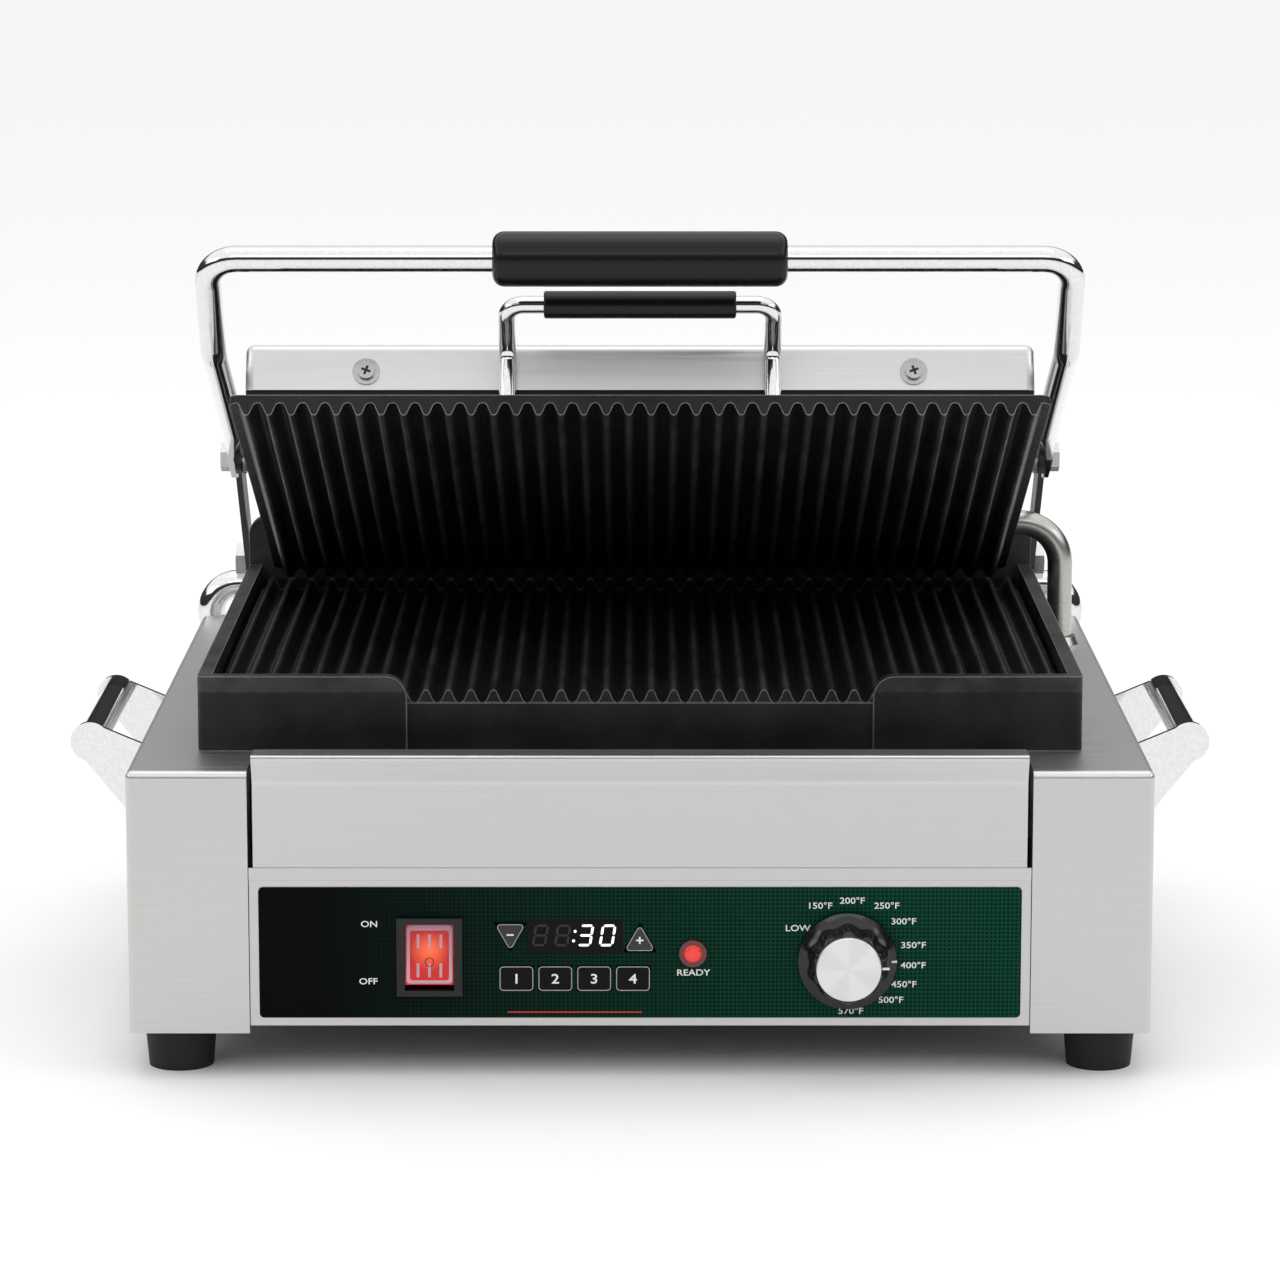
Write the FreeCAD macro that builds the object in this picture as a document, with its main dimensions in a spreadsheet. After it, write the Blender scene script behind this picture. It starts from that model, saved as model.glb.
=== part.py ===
"""Countertop panini grill: ribbed cast plates in a stainless housing.

The frame is +Z up with the origin on the floor, at the middle of the whole machine.
X runs to the user's right and Y to the back. All sizes are in millimetres and degrees.
The top plate is drawn raised, as it stands while the grill heats up.
"""

import FreeCAD
import Part

import math
import os
import re

Vector = FreeCAD.Vector
Rotation = FreeCAD.Rotation
Placement = FreeCAD.Placement

doc = FreeCAD.newDocument("panini_grill")
sheet = doc.addObject("Spreadsheet::Sheet", "Sizes")

SIZES = {
    # Housing
    "body_width": (440.0, "housing across the sides"),
    "body_depth": (380.0, "housing, front face to rear panel"),
    "body_height": (115.0, "housing, underside to top panel"),
    "foot_height": (20.0, "floor to the underside"),
    "sheet_wall": (1.5, "stainless sheet"),
    "edge_round": (3.0, "outer edges of the housing"),
    "post_width": (52.0, "front post on each side of the tray"),
    "post_return": (18.0, "inward fold at the edge of a post"),
    "knob_reach": (18.0, "knob cap in front of the housing"),
    "guard_gap": (20.0, "rear panel to the centre of the guard tube"),
    "guard_radius": (7.0, "guard tube"),
    "fit_gap": (0.3, "gap between pieces that pass each other"),
    "run_gap": (0.05, "radial clearance of a pin in its bush"),
    # Lower casting
    "cast_width": (385.0, "lower casting outside"),
    "cast_depth": (300.0, "lower casting outside"),
    "cast_front": (44.0, "front face to the lower casting"),
    "cast_wall": (6.3, "rim and splash wall"),
    "cast_rise": (33.0, "rim above the top panel"),
    "splash_rise": (57.0, "rear splash wall above the top panel"),
    "floor_rise": (13.5, "underside of the cooking floor above the top panel"),
    "rib_rise": (26.5, "rib tops above the top panel"),
    "rib_pitch": (9.81, "rib to rib"),
    "rib_depth": (5.6, "rib top to valley"),
    "mouth_width": (203.0, "opening in the front rim"),
    "corner_round": (9.0, "upper corners of the rims"),
    "seat_lap": (7.0, "casting over the edge of the panel's opening"),
    "cast_drop": (6.0, "front skirt below the top panel, in the tray bay"),
    # Hinge, arms and lift handle
    "hinge_back": (368.0, "front face to the hinge shaft"),
    "hinge_rise": (30.0, "hinge shaft above the top panel"),
    "shaft_radius": (5.0, "hinge shaft"),
    "arm_reach": (176.2, "hinge shaft to plate pivot"),
    "arm_tilt": (25.37, "arms above level, as drawn"),
    "arm_thick": (3.0, "flat arm"),
    "arm_half": (8.0, "half the width of a flat arm"),
    "elbow_reach": (80.8, "hinge shaft to the crank of an arm, along the arm"),
    "elbow_rise": (30.3, "crank of an arm above the line to the pivot"),
    "lift_across": (185.2, "middle of the machine to the side of the lift tube"),
    "cover_screw_across": (120.0, "middle of the machine to a cover screw"),
    "coil_radius": (10.5, "middle of the wire of a counterbalance spring"),
    "coil_wire": (1.5, "wire of a counterbalance spring"),
    "coil_pitch": (5.0, "turn to turn of a counterbalance spring"),
    "coil_length": (60.0, "counterbalance spring"),
    "guard_low": (80.0, "floor to the ends of the guard tube"),
    "guard_inset": (13.0, "housing's side to the ends of the guard tube"),
    "gland_bore": (4.5, "opening of the lead's gland"),
    "arrow_apart": (27.8, "window's middle to an arrow key"),
    "key_travel": (0.5, "how far a key goes in"),
    "arm_inner": (193.0, "middle of the grill to the arm, at the hinge"),
    "arm_jog": (8.6, "arm nearer the middle at the plate pivot"),
    "lift_radius": (5.6, "lift handle tube"),
    "lift_reach": (330.0, "hinge to the elbow of the lift handle"),
    "lift_front": (375.0, "hinge to the crossbar, along the arms"),
    "lift_rise": (27.0, "crossbar above the line of the arms"),
    "lift_bend": (13.0, "bend at the crossbar's ends"),
    "grip_radius": (11.8, "lift handle grip"),
    "grip_length": (126.0, "lift handle grip"),
    "tower_out": (148.0, "middle of the grill to a hinge tower's outer face"),
    "tower_thick": (8.0, "hinge tower"),
    "tower_boss": (10.0, "radius of the tower's eye"),
    "bush_radius": (7.0, "hinge bush outside"),
    # Top plate
    "plate_tilt": (24.5, "top plate above level, as drawn"),
    "plate_width": (358.8, "top plate"),
    "plate_length": (280.0, "top plate, front to back"),
    "plate_drop": (22.0, "plate pivot down to the rib tips"),
    "plate_thick": (9.3, "top plate with its ribs"),
    "cover_width": (346.2, "top cover"),
    "cover_front": (132.0, "plate pivot to the cover's front"),
    "cover_back": (130.0, "plate pivot to the cover's rear"),
    "cover_bottom": (8.0, "cover's lower edge below the plate pivot"),
    "cover_top": (13.5, "cover's top above the plate pivot"),
    "pivot_radius": (4.0, "plate pivot bolt"),
    "pivot_nut": (4.0, "height of the nut on a plate pivot bolt"),
    "loop_radius": (3.8, "plate handle rod"),
    "loop_half": (58.0, "middle to a leg of the plate handle"),
    "loop_front": (160.0, "plate pivot to the handle's crossbar"),
    "loop_rise": (22.0, "handle's crossbar above the plate pivot"),
    "loop_grip": (83.5, "plate handle grip length"),
    # Wiring conduit
    "conduit_radius": (6.0, "wiring conduit"),
    "conduit_out": (204.0, "middle of the grill to the conduit"),
    "conduit_back": (304.0, "front face to the conduit"),
    "conduit_rise": (59.5, "conduit's level run above the top panel"),
    "conduit_bend": (20.0, "conduit's bend"),
    "conduit_tail": (42.0, "conduit below the top panel"),
    # Drip tray and control panel
    "shelf_rise": (67.5, "housing's underside to the tray shelf"),
    "shelf_lip": (5.4, "front edge of the tray shelf"),
    "tray_back": (96.0, "front face to the tray's rear wall"),
    "lip_drop": (4.4, "tray's lip starts below the top panel"),
    "lip_rise": (7.5, "tray's lip above the top panel"),
    "lip_out": (6.0, "tray's lip in front of the housing"),
    "lip_back": (13.0, "tray's top flange behind the front face"),
    "panel_edge": (3.0, "control panel's frame around the overlay"),
    "overlay_thick": (0.7, "printed overlay"),
    "knob_across": (89.0, "middle of the grill to the knob"),
    "knob_up": (32.5, "housing's underside to the knob"),
    "skirt_radius": (21.3, "knob skirt"),
    "knob_radius": (16.8, "knob"),
    "cap_radius": (13.9, "knob cap"),
    "switch_across": (90.4, "middle of the grill to the switch"),
    "switch_up": (34.0, "housing's underside to the switch"),
    "switch_width": (28.2, "switch bezel"),
    "switch_height": (34.3, "switch bezel"),
    "rocker_tilt": (11.0, "rocker from level, each way"),
    "key_width": (14.4, "numbered key"),
    "key_height": (10.7, "numbered key"),
    "key_pitch": (16.7, "numbered key to the next"),
    "key_left": (53.1, "middle of the grill to the first key"),
    "key_up": (24.3, "housing's underside to the numbered keys"),
    "arrow_width": (13.0, "time key"),
    "arrow_up": (42.4, "housing's underside to the time keys"),
    "window_width": (41.2, "display window"),
    "window_height": (15.3, "display window"),
    "window_across": (27.9, "middle of the grill to the display"),
    "lamp_across": (22.7, "middle of the grill to the ready lamp"),
    "lamp_up": (35.4, "housing's underside to the ready lamp"),
    "lamp_radius": (5.9, "ready lamp bezel"),
    # Side handles and feet
    "side_front": (125.0, "front face to the side handle"),
    "side_length": (112.0, "side handle, front to back"),
    "side_reach": (38.0, "side handle out from the housing"),
    "side_bar": (6.8, "side handle bar radius"),
    "side_plate": (3.0, "side handle bracket"),
    "foot_inset": (20.0, "housing's side to the centre of a foot"),
    "foot_setback": (26.0, "housing's face to the centre of a foot"),
    "foot_top": (15.8, "foot radius under the housing"),
    "foot_bottom": (14.0, "foot radius on the floor"),
    "element_radius": (4.0, "tubular heating element"),
}

for row, (alias, (number, note)) in enumerate(SIZES.items(), start=1):
    sheet.set(f"A{row}", alias)
    sheet.set(f"B{row}", str(number))
    sheet.set(f"C{row}", note)
    sheet.setAlias(f"B{row}", alias)
doc.recompute()


def size(alias):
    """The number in the sheet's cell of that alias."""
    return float(sheet.get(alias))


# Places that several pieces share, as expressions of the sheet.
FRONT = "(knob_reach - (body_depth + guard_gap + guard_radius + knob_reach) / 2)"
REAR = f"({FRONT} + body_depth)"
TOP = "(foot_height + body_height)"
SIDE = "(body_width / 2)"
BAY = "(body_width / 2 - post_width)"
HINGE_Y = f"({FRONT} + hinge_back)"
HINGE_Z = f"({TOP} + hinge_rise)"
PIVOT_Y = f"({HINGE_Y} - arm_reach * cos(arm_tilt))"
PIVOT_Z = f"({HINGE_Z} + arm_reach * sin(arm_tilt))"
SHELF = "(foot_height + shelf_rise)"

# The same places as numbers, for the shapes that are worked out in code.
front_y = size("knob_reach") - (size("body_depth") + size("guard_gap")
                                + size("guard_radius") + size("knob_reach")) / 2
rear_y = front_y + size("body_depth")
top_z = size("foot_height") + size("body_height")

subparts = []


def bind(item, prop, text):
    """Bind a property to an expression in which aliases stand for the sheet's cells."""
    full = re.sub(r"[a-z]+_[a-z_]+", lambda word: "Sizes." + word.group(0), str(text))
    item.setExpression(prop, full)


def made(item, label):
    """Name a finished sub-part and list it for export."""
    item.Label = label
    subparts.append(item)
    return item


def box(x, y, z):
    """A Part::Box between pairs of expressions."""
    item = doc.addObject("Part::Box", "block")
    bind(item, "Length", f"({x[1]}) - ({x[0]})")
    bind(item, "Width", f"({y[1]}) - ({y[0]})")
    bind(item, "Height", f"({z[1]}) - ({z[0]})")
    bind(item, "Placement.Base.x", x[0])
    bind(item, "Placement.Base.y", y[0])
    bind(item, "Placement.Base.z", z[0])
    return item


TURNS = {
    "x": Rotation(Vector(0, 1, 0), 90),
    "y": Rotation(Vector(-1, 0, 0), 90),
    "z": Rotation(),
}


def round_bar(axis, radius, start, length, at):
    """A Part::Cylinder along an axis: start on that axis, and the other two places."""
    item = doc.addObject("Part::Cylinder", "bar")
    item.Placement = Placement(Vector(), TURNS[axis])
    bind(item, "Radius", radius)
    bind(item, "Height", length)
    others = [name for name in "xyz" if name != axis]
    bind(item, f"Placement.Base.{axis}", start)
    bind(item, f"Placement.Base.{others[0]}", at[0])
    bind(item, f"Placement.Base.{others[1]}", at[1])
    return item


def taper(axis, radius_start, radius_end, start, length, at):
    """A Part::Cone along an axis, from its start radius to its end radius."""
    item = doc.addObject("Part::Cone", "taper")
    item.Placement = Placement(Vector(), TURNS[axis])
    bind(item, "Radius1", radius_start)
    bind(item, "Radius2", radius_end)
    bind(item, "Height", length)
    others = [name for name in "xyz" if name != axis]
    bind(item, f"Placement.Base.{axis}", start)
    bind(item, f"Placement.Base.{others[0]}", at[0])
    bind(item, f"Placement.Base.{others[1]}", at[1])
    return item


def fuse(*items):
    """One solid of several."""
    joined = doc.addObject("Part::MultiFuse", "joined")
    joined.Shapes = list(items)
    joined.Refine = True
    return joined


def cut(base, *tools):
    """The base less the tools."""
    less = doc.addObject("Part::Cut", "less")
    less.Base = base
    less.Tool = tools[0] if len(tools) == 1 else group(*tools)
    return less


def group(*items):
    """Separate solids in one node, such as a set of screws."""
    together = doc.addObject("Part::Compound", "together")
    together.Links = list(items)
    return together


def fillet(base, radius, chooser):
    """Round the edges for which chooser(edge) is true."""
    doc.recompute()
    item = doc.addObject("Part::Fillet", "rounded")
    item.Base = base
    edges = [(n, radius, radius) for n, edge in enumerate(base.Shape.Edges, start=1)
             if chooser(edge)]
    item.Edges = edges
    return item


def runs_along(edge, axis):
    """True for a straight edge along that axis."""
    if edge.Curve.TypeId != "Part::GeomLine":
        return False
    return abs(getattr(edge.Curve.Direction, axis)) > 0.999


PLANES = {"xy": "XY_Plane", "xz": "XZ_Plane", "yz": "YZ_Plane"}


def prism(plane, points, start, end):
    """A PartDesign::Body: a polygon of expression pairs, padded from start to end.

    The polygon lies in the named plane. On xy it is padded along +Z, on yz along +X
    and on xz along -Y, so there start and end count backwards from the front.
    """
    body = doc.addObject("PartDesign::Body", "body")
    sketch = body.newObject("Sketcher::SketchObject", "outline")
    role = PLANES[plane]
    origin = [item for item in body.Origin.OriginFeatures if item.Role == role][0]
    sketch.AttachmentSupport = (origin, [""])
    sketch.MapMode = "FlatFace"
    bind(sketch, "AttachmentOffset.Base.z", start)
    add_polygon(sketch, points)
    pad = body.newObject("PartDesign::Pad", "pad")
    pad.Profile = sketch
    bind(pad, "Length", f"({end}) - ({start})")
    body.Tip = pad
    return body


def add_polygon(sketch, points):
    """A closed outline whose corners are each held by two bound distances."""
    count = len(points)
    for n in range(count):
        angle = 2 * math.pi * n / count
        turn = 2 * math.pi * (n + 1) / count
        sketch.addGeometry(Part.LineSegment(
            Vector(math.cos(angle), math.sin(angle), 0),
            Vector(math.cos(turn), math.sin(turn), 0)))
    for n in range(count):
        sketch.addConstraint([
            constraint("Coincident", n, 2, (n + 1) % count, 1)])
    for n, (across, up) in enumerate(points):
        for kind, text in (("DistanceX", across), ("DistanceY", up)):
            index = sketch.addConstraint(constraint(kind, -1, 1, n, 1, 1.0))
            bind(sketch, f"Constraints[{index}]", text)


def constraint(*args):
    """A Sketcher constraint."""
    import Sketcher
    return Sketcher.Constraint(*args)


def mirrored(make):
    """The same piece on the left and on the right: make(sign) for -1 and 1."""
    return make(-1), make(1)


def span(sign, inner, outer):
    """The pair of expressions from inner to outer on the left (-1) or right (1) side."""
    if sign < 0:
        return (f"-({outer})", f"-({inner})")
    return (inner, outer)


# ---------------------------------------------------------------- housing


def housing():
    """The folded wrap: top panel, both sides and the two front posts."""
    shell = box((f"-{SIDE}", SIDE), (FRONT, REAR), ("foot_height", TOP))

    def is_outer_edge(edge):
        middle = edge.CenterOfMass
        if runs_along(edge, "z"):
            return abs(middle.y - front_y) < 0.01
        if abs(middle.z - top_z) > 0.01:
            return False
        return runs_along(edge, "y") or abs(middle.y - front_y) < 0.01

    shell = fillet(shell, size("edge_round"), is_outer_edge)
    inside = box((f"-{SIDE} + sheet_wall", f"{SIDE} - sheet_wall"),
                 (f"{FRONT} + sheet_wall", f"{REAR} + 1"),
                 ("foot_height - 1", f"{TOP} - sheet_wall"))
    bay = box((f"-{BAY}", BAY),
              (f"{FRONT} - 1", f"{FRONT} + cast_front + seat_lap"),
              ("foot_height - 1", f"{TOP} + 1"))
    seat = box(("-(cast_width / 2 - seat_lap)", "cast_width / 2 - seat_lap"),
               (f"{FRONT} + cast_front + seat_lap",
                f"{FRONT} + cast_front + cast_depth - seat_lap"),
               (f"{TOP} - sheet_wall - 1", f"{TOP} + 1"))
    conduit_hole = round_bar("z", "conduit_radius + 2.5", f"{TOP} - 5", "10",
                             ("conduit_out", f"{FRONT} + conduit_back"))
    wrap = cut(shell, inside, bay, seat, conduit_hole)

    def post_fold(sign):
        return box(span(sign, BAY, f"{BAY} + sheet_wall"),
                   (f"{FRONT} + sheet_wall", f"{FRONT} + post_return"),
                   ("foot_height", f"{TOP} - sheet_wall"))

    made(fuse(wrap, *mirrored(post_fold)), "housing")


def louvre_slots(count, pitch, width, plane_y, z):
    """A row of vent slots across the rear panel."""
    return [box((f"{(n - (count - 1) / 2) * pitch - width / 2}",
                 f"{(n - (count - 1) / 2) * pitch + width / 2}"), plane_y, z)
            for n in range(count)]


def rear_panel():
    """The panel that closes the back, with its vents and the lead's entry."""
    panel = box((f"-{SIDE} + sheet_wall", f"{SIDE} - sheet_wall"),
                (f"{REAR} - sheet_wall", REAR),
                ("foot_height", f"{TOP} - sheet_wall"))
    through = (f"{REAR} - 5", f"{REAR} + 5")
    slots = []
    for row in range(4):
        low = f"foot_height + body_height * 0.45 + {row * 11}"
        slots += louvre_slots(5, 46, 34, through, (low, f"{low} + 4"))
    entry = round_bar("y", "8", f"{REAR} - 5", "10", ("-150", "foot_height + 28"))
    screw_holes = [round_bar("y", "1.6", f"{REAR} - 5", "10", (str(x), str(z)))
                   for x, z in REAR_SCREWS]
    made(cut(panel, *slots, entry, *screw_holes), "rear_panel")


FEET = [(sign, back) for back in (0, 1) for sign in (-1, 1)]


def foot_place(sign, back):
    """The middle of a foot."""
    across = f"{sign} * ({SIDE} - foot_inset)"
    along = f"{REAR} - foot_setback" if back else f"{FRONT} + foot_setback"
    return across, along


def bottom_plate():
    """The plate that closes the underside, with vents and the feet's screw holes."""
    plate = box((f"-{SIDE} + sheet_wall", f"{SIDE} - sheet_wall"),
                (f"{FRONT} + sheet_wall", f"{REAR} - sheet_wall"),
                ("foot_height", "foot_height + sheet_wall"))
    holes = [round_bar("z", "3", "foot_height - 2", "6", foot_place(*foot))
             for foot in FEET]
    posts = [box(span(sign, f"{BAY} - fit_gap", f"{BAY} + sheet_wall + fit_gap"),
                 (f"{FRONT} + sheet_wall - 1", f"{FRONT} + post_return + fit_gap"),
                 ("foot_height - 1", "foot_height + 5")) for sign in (-1, 1)]
    depth = ("foot_height - 2", "foot_height + 4")
    slots = []
    for row in range(3):
        near = f"{FRONT} + body_depth * 0.4 + {row * 40}"
        slots += louvre_slots(5, 46, 34, (near, f"{near} + 5"), depth)
    front_gap = box((f"-{BAY}", BAY), (FRONT, f"{FRONT} + post_return"),
                    ("foot_height - 1", "foot_height + 5"))
    made(cut(plate, *holes, *posts, *slots, front_gap), "bottom_plate")


def feet():
    """Four rubber feet and the screws that hold them."""
    names = ["front_left_foot", "front_right_foot", "rear_left_foot", "rear_right_foot"]
    screws = []
    for name, foot in zip(names, FEET):
        place = foot_place(*foot)
        block = taper("z", "foot_bottom", "foot_top", "0", "foot_height", place)
        well = round_bar("z", "6.5", "-1", "7", place)
        hole = round_bar("z", "3", "-1", "foot_height + 2", place)
        made(cut(block, well, hole), name)
        head = round_bar("z", "5.5", "6 - 3.2", "3.2", place)
        shank = round_bar("z", "3", "5", "foot_height + 1", place)
        screws.append(fuse(head, shank))
    made(group(*screws), "foot_screws")


# ---------------------------------------------------------------- drip tray


def tray_shelf():
    """The folded shelf under the drip tray."""
    sheet_part = box((f"-{BAY} + fit_gap", f"{BAY} - fit_gap"),
                     (f"{FRONT} + 0.5", f"{FRONT} + tray_back + 8"),
                     (SHELF, f"{SHELF} + sheet_wall"))
    lip = box((f"-{BAY} + fit_gap", f"{BAY} - fit_gap"),
              (f"{FRONT} + 0.5", f"{FRONT} + 0.5 + sheet_wall"),
              (SHELF, f"{SHELF} + shelf_lip"))
    back = box((f"-{BAY} + fit_gap", f"{BAY} - fit_gap"),
               (f"{FRONT} + tray_back + 8 - sheet_wall", f"{FRONT} + tray_back + 8"),
               (SHELF, f"{SHELF} + 24"))
    runners = [box(span(sign, "70", "76"), (f"{FRONT} + 1", f"{FRONT} + tray_back"),
                   (SHELF, f"{SHELF} + shelf_lip")) for sign in (-1, 1)]
    made(fuse(sheet_part, lip, back, *runners), "tray_shelf")


def drip_tray():
    """The tray that catches the fat: a folded front over a shallow box."""
    face = f"{FRONT}"
    low = f"{SHELF} + shelf_lip + fit_gap"
    lip_low = f"{TOP} - lip_drop"
    lip_top = f"{TOP} + lip_rise"
    front = prism("yz", [
        (face, low),
        (f"{face} + sheet_wall", low),
        (f"{face} + sheet_wall", f"{lip_low} - 0.4"),
        (f"{face} - lip_out + sheet_wall * 1.3", f"{lip_top} - sheet_wall"),
        (f"{face} + lip_back", f"{lip_top} - sheet_wall - 1"),
        (f"{face} + lip_back", f"{lip_top} - 1"),
        (f"{face} - lip_out", lip_top),
        (face, lip_low),
    ], f"-{BAY} + fit_gap", f"{BAY} - fit_gap")
    notches = [box(span(sign, f"{BAY} - 2.5", f"{BAY} + 1"),
                   (f"{face} - 0.01", f"{face} + 3"), (f"{low} - 1", f"{lip_low} - 0.4"))
               for sign in (-1, 1)]
    half = f"({BAY} - 4)"
    floor_z = low
    front_low = box((f"-{half}", half), (f"{face} + sheet_wall + shelf_lip / 2",
                                         f"{face} + tray_back"),
                    (floor_z, f"{SHELF} + 34"))
    hollow = box((f"-{half} + sheet_wall", f"{half} - sheet_wall"),
                 (f"{face} + sheet_wall * 2 + shelf_lip / 2",
                  f"{face} + tray_back - sheet_wall"),
                 (f"{floor_z} + sheet_wall", f"{SHELF} + 40"))
    hanger = box((f"-{half}", half),
                 (f"{face} + sheet_wall / 2", f"{face} + sheet_wall * 2 + shelf_lip / 2"),
                 (f"{low} + 8", f"{low} + 8 + sheet_wall"))
    made(fuse(cut(front, *notches), cut(front_low, hollow), hanger), "drip_tray")


# ---------------------------------------------------------------- lower plate


def ribbed_slab(half, start, end, rib_top, bottom):
    """A slab with ribs along Y on its upper face, from x = -half to half.

    Rib tops and the valleys between them are both rounded.
    """
    pitch = size("rib_pitch")
    depth = size("rib_depth")
    slope = math.radians(66)
    tip = 1.6
    bowl = 2.2
    tip_x = tip * math.sin(slope)
    tip_z = rib_top - tip * (1 - math.cos(slope))
    bowl_x = bowl * math.sin(slope)
    bowl_z = rib_top - depth + bowl * (1 - math.cos(slope))
    valley = rib_top - depth
    count = int((2 * half - 2 * bowl_x - 2 * tip_x - 1) / pitch) + 1
    first = -(count - 1) / 2 * pitch
    edges = []
    here = Vector(-half, 0, valley)

    def line_to(x, z):
        nonlocal here
        there = Vector(x, 0, z)
        edges.append(Part.makeLine(here, there))
        here = there

    def arc_to(mid_x, mid_z, x, z):
        nonlocal here
        there = Vector(x, 0, z)
        edges.append(Part.Arc(here, Vector(mid_x, 0, mid_z), there).toShape())
        here = there

    line_to(first - tip_x - 2.2, valley)
    for n in range(count):
        middle = first + n * pitch
        line_to(middle - tip_x, tip_z)
        arc_to(middle, rib_top, middle + tip_x, tip_z)
        if n < count - 1:
            line_to(middle + pitch / 2 - bowl_x, bowl_z)
            arc_to(middle + pitch / 2, valley, middle + pitch / 2 + bowl_x, bowl_z)
    line_to(first + (count - 1) * pitch + tip_x + 2.2, valley)
    line_to(half, valley)
    line_to(half, bottom)
    line_to(-half, bottom)
    line_to(-half, valley)
    face = Part.Face(Part.Wire(edges))
    face.translate(Vector(0, start, 0))
    return face.extrude(Vector(0, end - start, 0))


def plain(shape):
    """A Part::Feature for a shape made in code."""
    item = doc.addObject("Part::Feature", "worked_shape")
    item.Shape = shape
    return item


def solid_box(x, y, z):
    """A box between pairs of numbers."""
    return Part.makeBox(x[1] - x[0], y[1] - y[0], z[1] - z[0], Vector(x[0], y[0], z[0]))


def round_edges(shape, radius, chooser):
    """A shape with the edges for which chooser(edge) is true rounded."""
    edges = [edge for edge in shape.Edges if chooser(edge)]
    return shape.makeFillet(radius, edges)


def lower_plate():
    """The cast cooking plate: ribbed floor, rims, open mouth and rear splash wall."""
    half = size("cast_width") / 2
    wall = size("cast_wall")
    y0 = front_y + size("cast_front")
    y1 = y0 + size("cast_depth")
    rim = top_z + size("cast_rise")
    splash = top_z + size("splash_rise")
    rib_top = top_z + size("rib_rise")
    under = top_z + size("floor_rise")
    mouth = size("mouth_width") / 2
    radius = size("corner_round")
    valley = rib_top - size("rib_depth")
    bay = size("body_width") / 2 - size("post_width") - 2

    block = solid_box((-half, half), (y0, y1), (top_z, rim))
    block = round_edges(block, 3.0, lambda edge: runs_along(edge, "z"))
    hollow = solid_box((-half + wall, half - wall), (y0 + wall, y1 - wall),
                       (top_z - 1, rim + 1))
    block = block.cut(hollow)
    gap = solid_box((-mouth, mouth), (y0 - 1, y0 + wall + 1), (under, rim + 1))
    block = block.cut(gap)
    block = round_edges(block, radius, lambda edge: runs_along(edge, "y")
                        and abs(abs(edge.CenterOfMass.x) - mouth) < 0.1
                        and abs(edge.CenterOfMass.z - rim) < 0.1)
    guard = solid_box((-half, half), (y1 - wall, y1), (rim - 8, splash))
    guard = round_edges(guard, radius, lambda edge: runs_along(edge, "y")
                        and edge.CenterOfMass.z > splash - 0.1)
    inner = half - wall
    floor = ribbed_slab(inner, y0 + wall * 0.6, y1 - wall, rib_top, under)
    side_ends = [solid_box((mouth, inner), (y0 + 1, y0 + wall), (valley - 1, rib_top + 1)),
                 solid_box((-inner, -mouth), (y0 + 1, y0 + wall), (valley - 1, rib_top + 1))]
    floor = floor.cut(side_ends[0]).cut(side_ends[1])
    sill = solid_box((-mouth, mouth), (y0 + 2.5, y0 + wall), (under, valley))
    skirt = solid_box((-bay, bay), (y0 + 2.5, y0 + wall),
                      (top_z - size("cast_drop"), under))
    apron = solid_box((-mouth, mouth), (y0 - 1, y0 + 2.5), (top_z - 1, rim + 1))
    block = block.cut(apron).fuse([guard, floor, sill, skirt]).removeSplitter()
    made(plain(block), "lower_plate")


# ---------------------------------------------------------------- bent bars and tubes


def bent_path(points, bend):
    """A wire through the points with every inner corner rounded to a bend radius."""
    edges = []
    here = points[0]
    for before, corner, after in zip(points, points[1:], points[2:]):
        arriving = (corner - before).normalize()
        leaving = (after - corner).normalize()
        turn = arriving.getAngle(leaving)
        setback = bend * math.tan(turn / 2)
        start = corner - arriving * setback
        end = corner + leaving * setback
        inward = (leaving - arriving).normalize()
        middle = corner + inward * (bend / math.cos(turn / 2) - bend)
        edges.append(Part.makeLine(here, start))
        edges.append(Part.Arc(start, middle, end).toShape())
        here = end
    edges.append(Part.makeLine(here, points[-1]))
    return Part.Wire(edges)


def swept_rod(points, radius, bend):
    """A round rod along a path with rounded corners."""
    path = bent_path(points, bend)
    direction = points[1] - points[0]
    circle = Part.Wire([Part.makeCircle(radius, points[0], direction)])
    return path.makePipeShell([circle], True, True)


def rod_between(start, end, radius):
    """A straight round rod from one point to another."""
    return Part.makeCylinder(radius, (end - start).Length, start, end - start)


def side_plate(points, x0, x1):
    """A flat plate in the YZ plane from x0 to x1, with an outline of (y, z) points."""
    corners = [Vector(x0, y, z) for y, z in points]
    face = Part.Face(Part.makePolygon(corners + [corners[0]]))
    return face.extrude(Vector(x1 - x0, 0, 0))


def flat_bar(points, half, x0, x1):
    """A flat bar of a given half width along (y, z) points, with round ends."""
    pieces = []
    for y, z in points:
        pieces.append(Part.makeCylinder(half, x1 - x0, Vector(x0, y, z), Vector(1, 0, 0)))
    for (ya, za), (yb, zb) in zip(points, points[1:]):
        length = math.hypot(yb - ya, zb - za)
        oy = -(zb - za) / length * half
        oz = (yb - ya) / length * half
        pieces.append(side_plate([(ya + oy, za + oz), (yb + oy, zb + oz),
                                  (yb - oy, zb - oz), (ya - oy, za - oz)], x0, x1))
    return pieces[0].fuse(pieces[1:]).removeSplitter()


def rod_x(x0, x1, radius, y, z):
    """A round bar along X between two numbers."""
    low, high = min(x0, x1), max(x0, x1)
    return Part.makeCylinder(radius, high - low, Vector(low, y, z), Vector(1, 0, 0))


def rod_y(y0, y1, radius, x, z):
    """A round bar along Y between two numbers."""
    return Part.makeCylinder(radius, y1 - y0, Vector(x, y0, z), Vector(0, 1, 0))


def rod_z(z0, z1, radius, x, y):
    """A round bar along Z between two numbers."""
    return Part.makeCylinder(radius, z1 - z0, Vector(x, y, z0), Vector(0, 0, 1))


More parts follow.
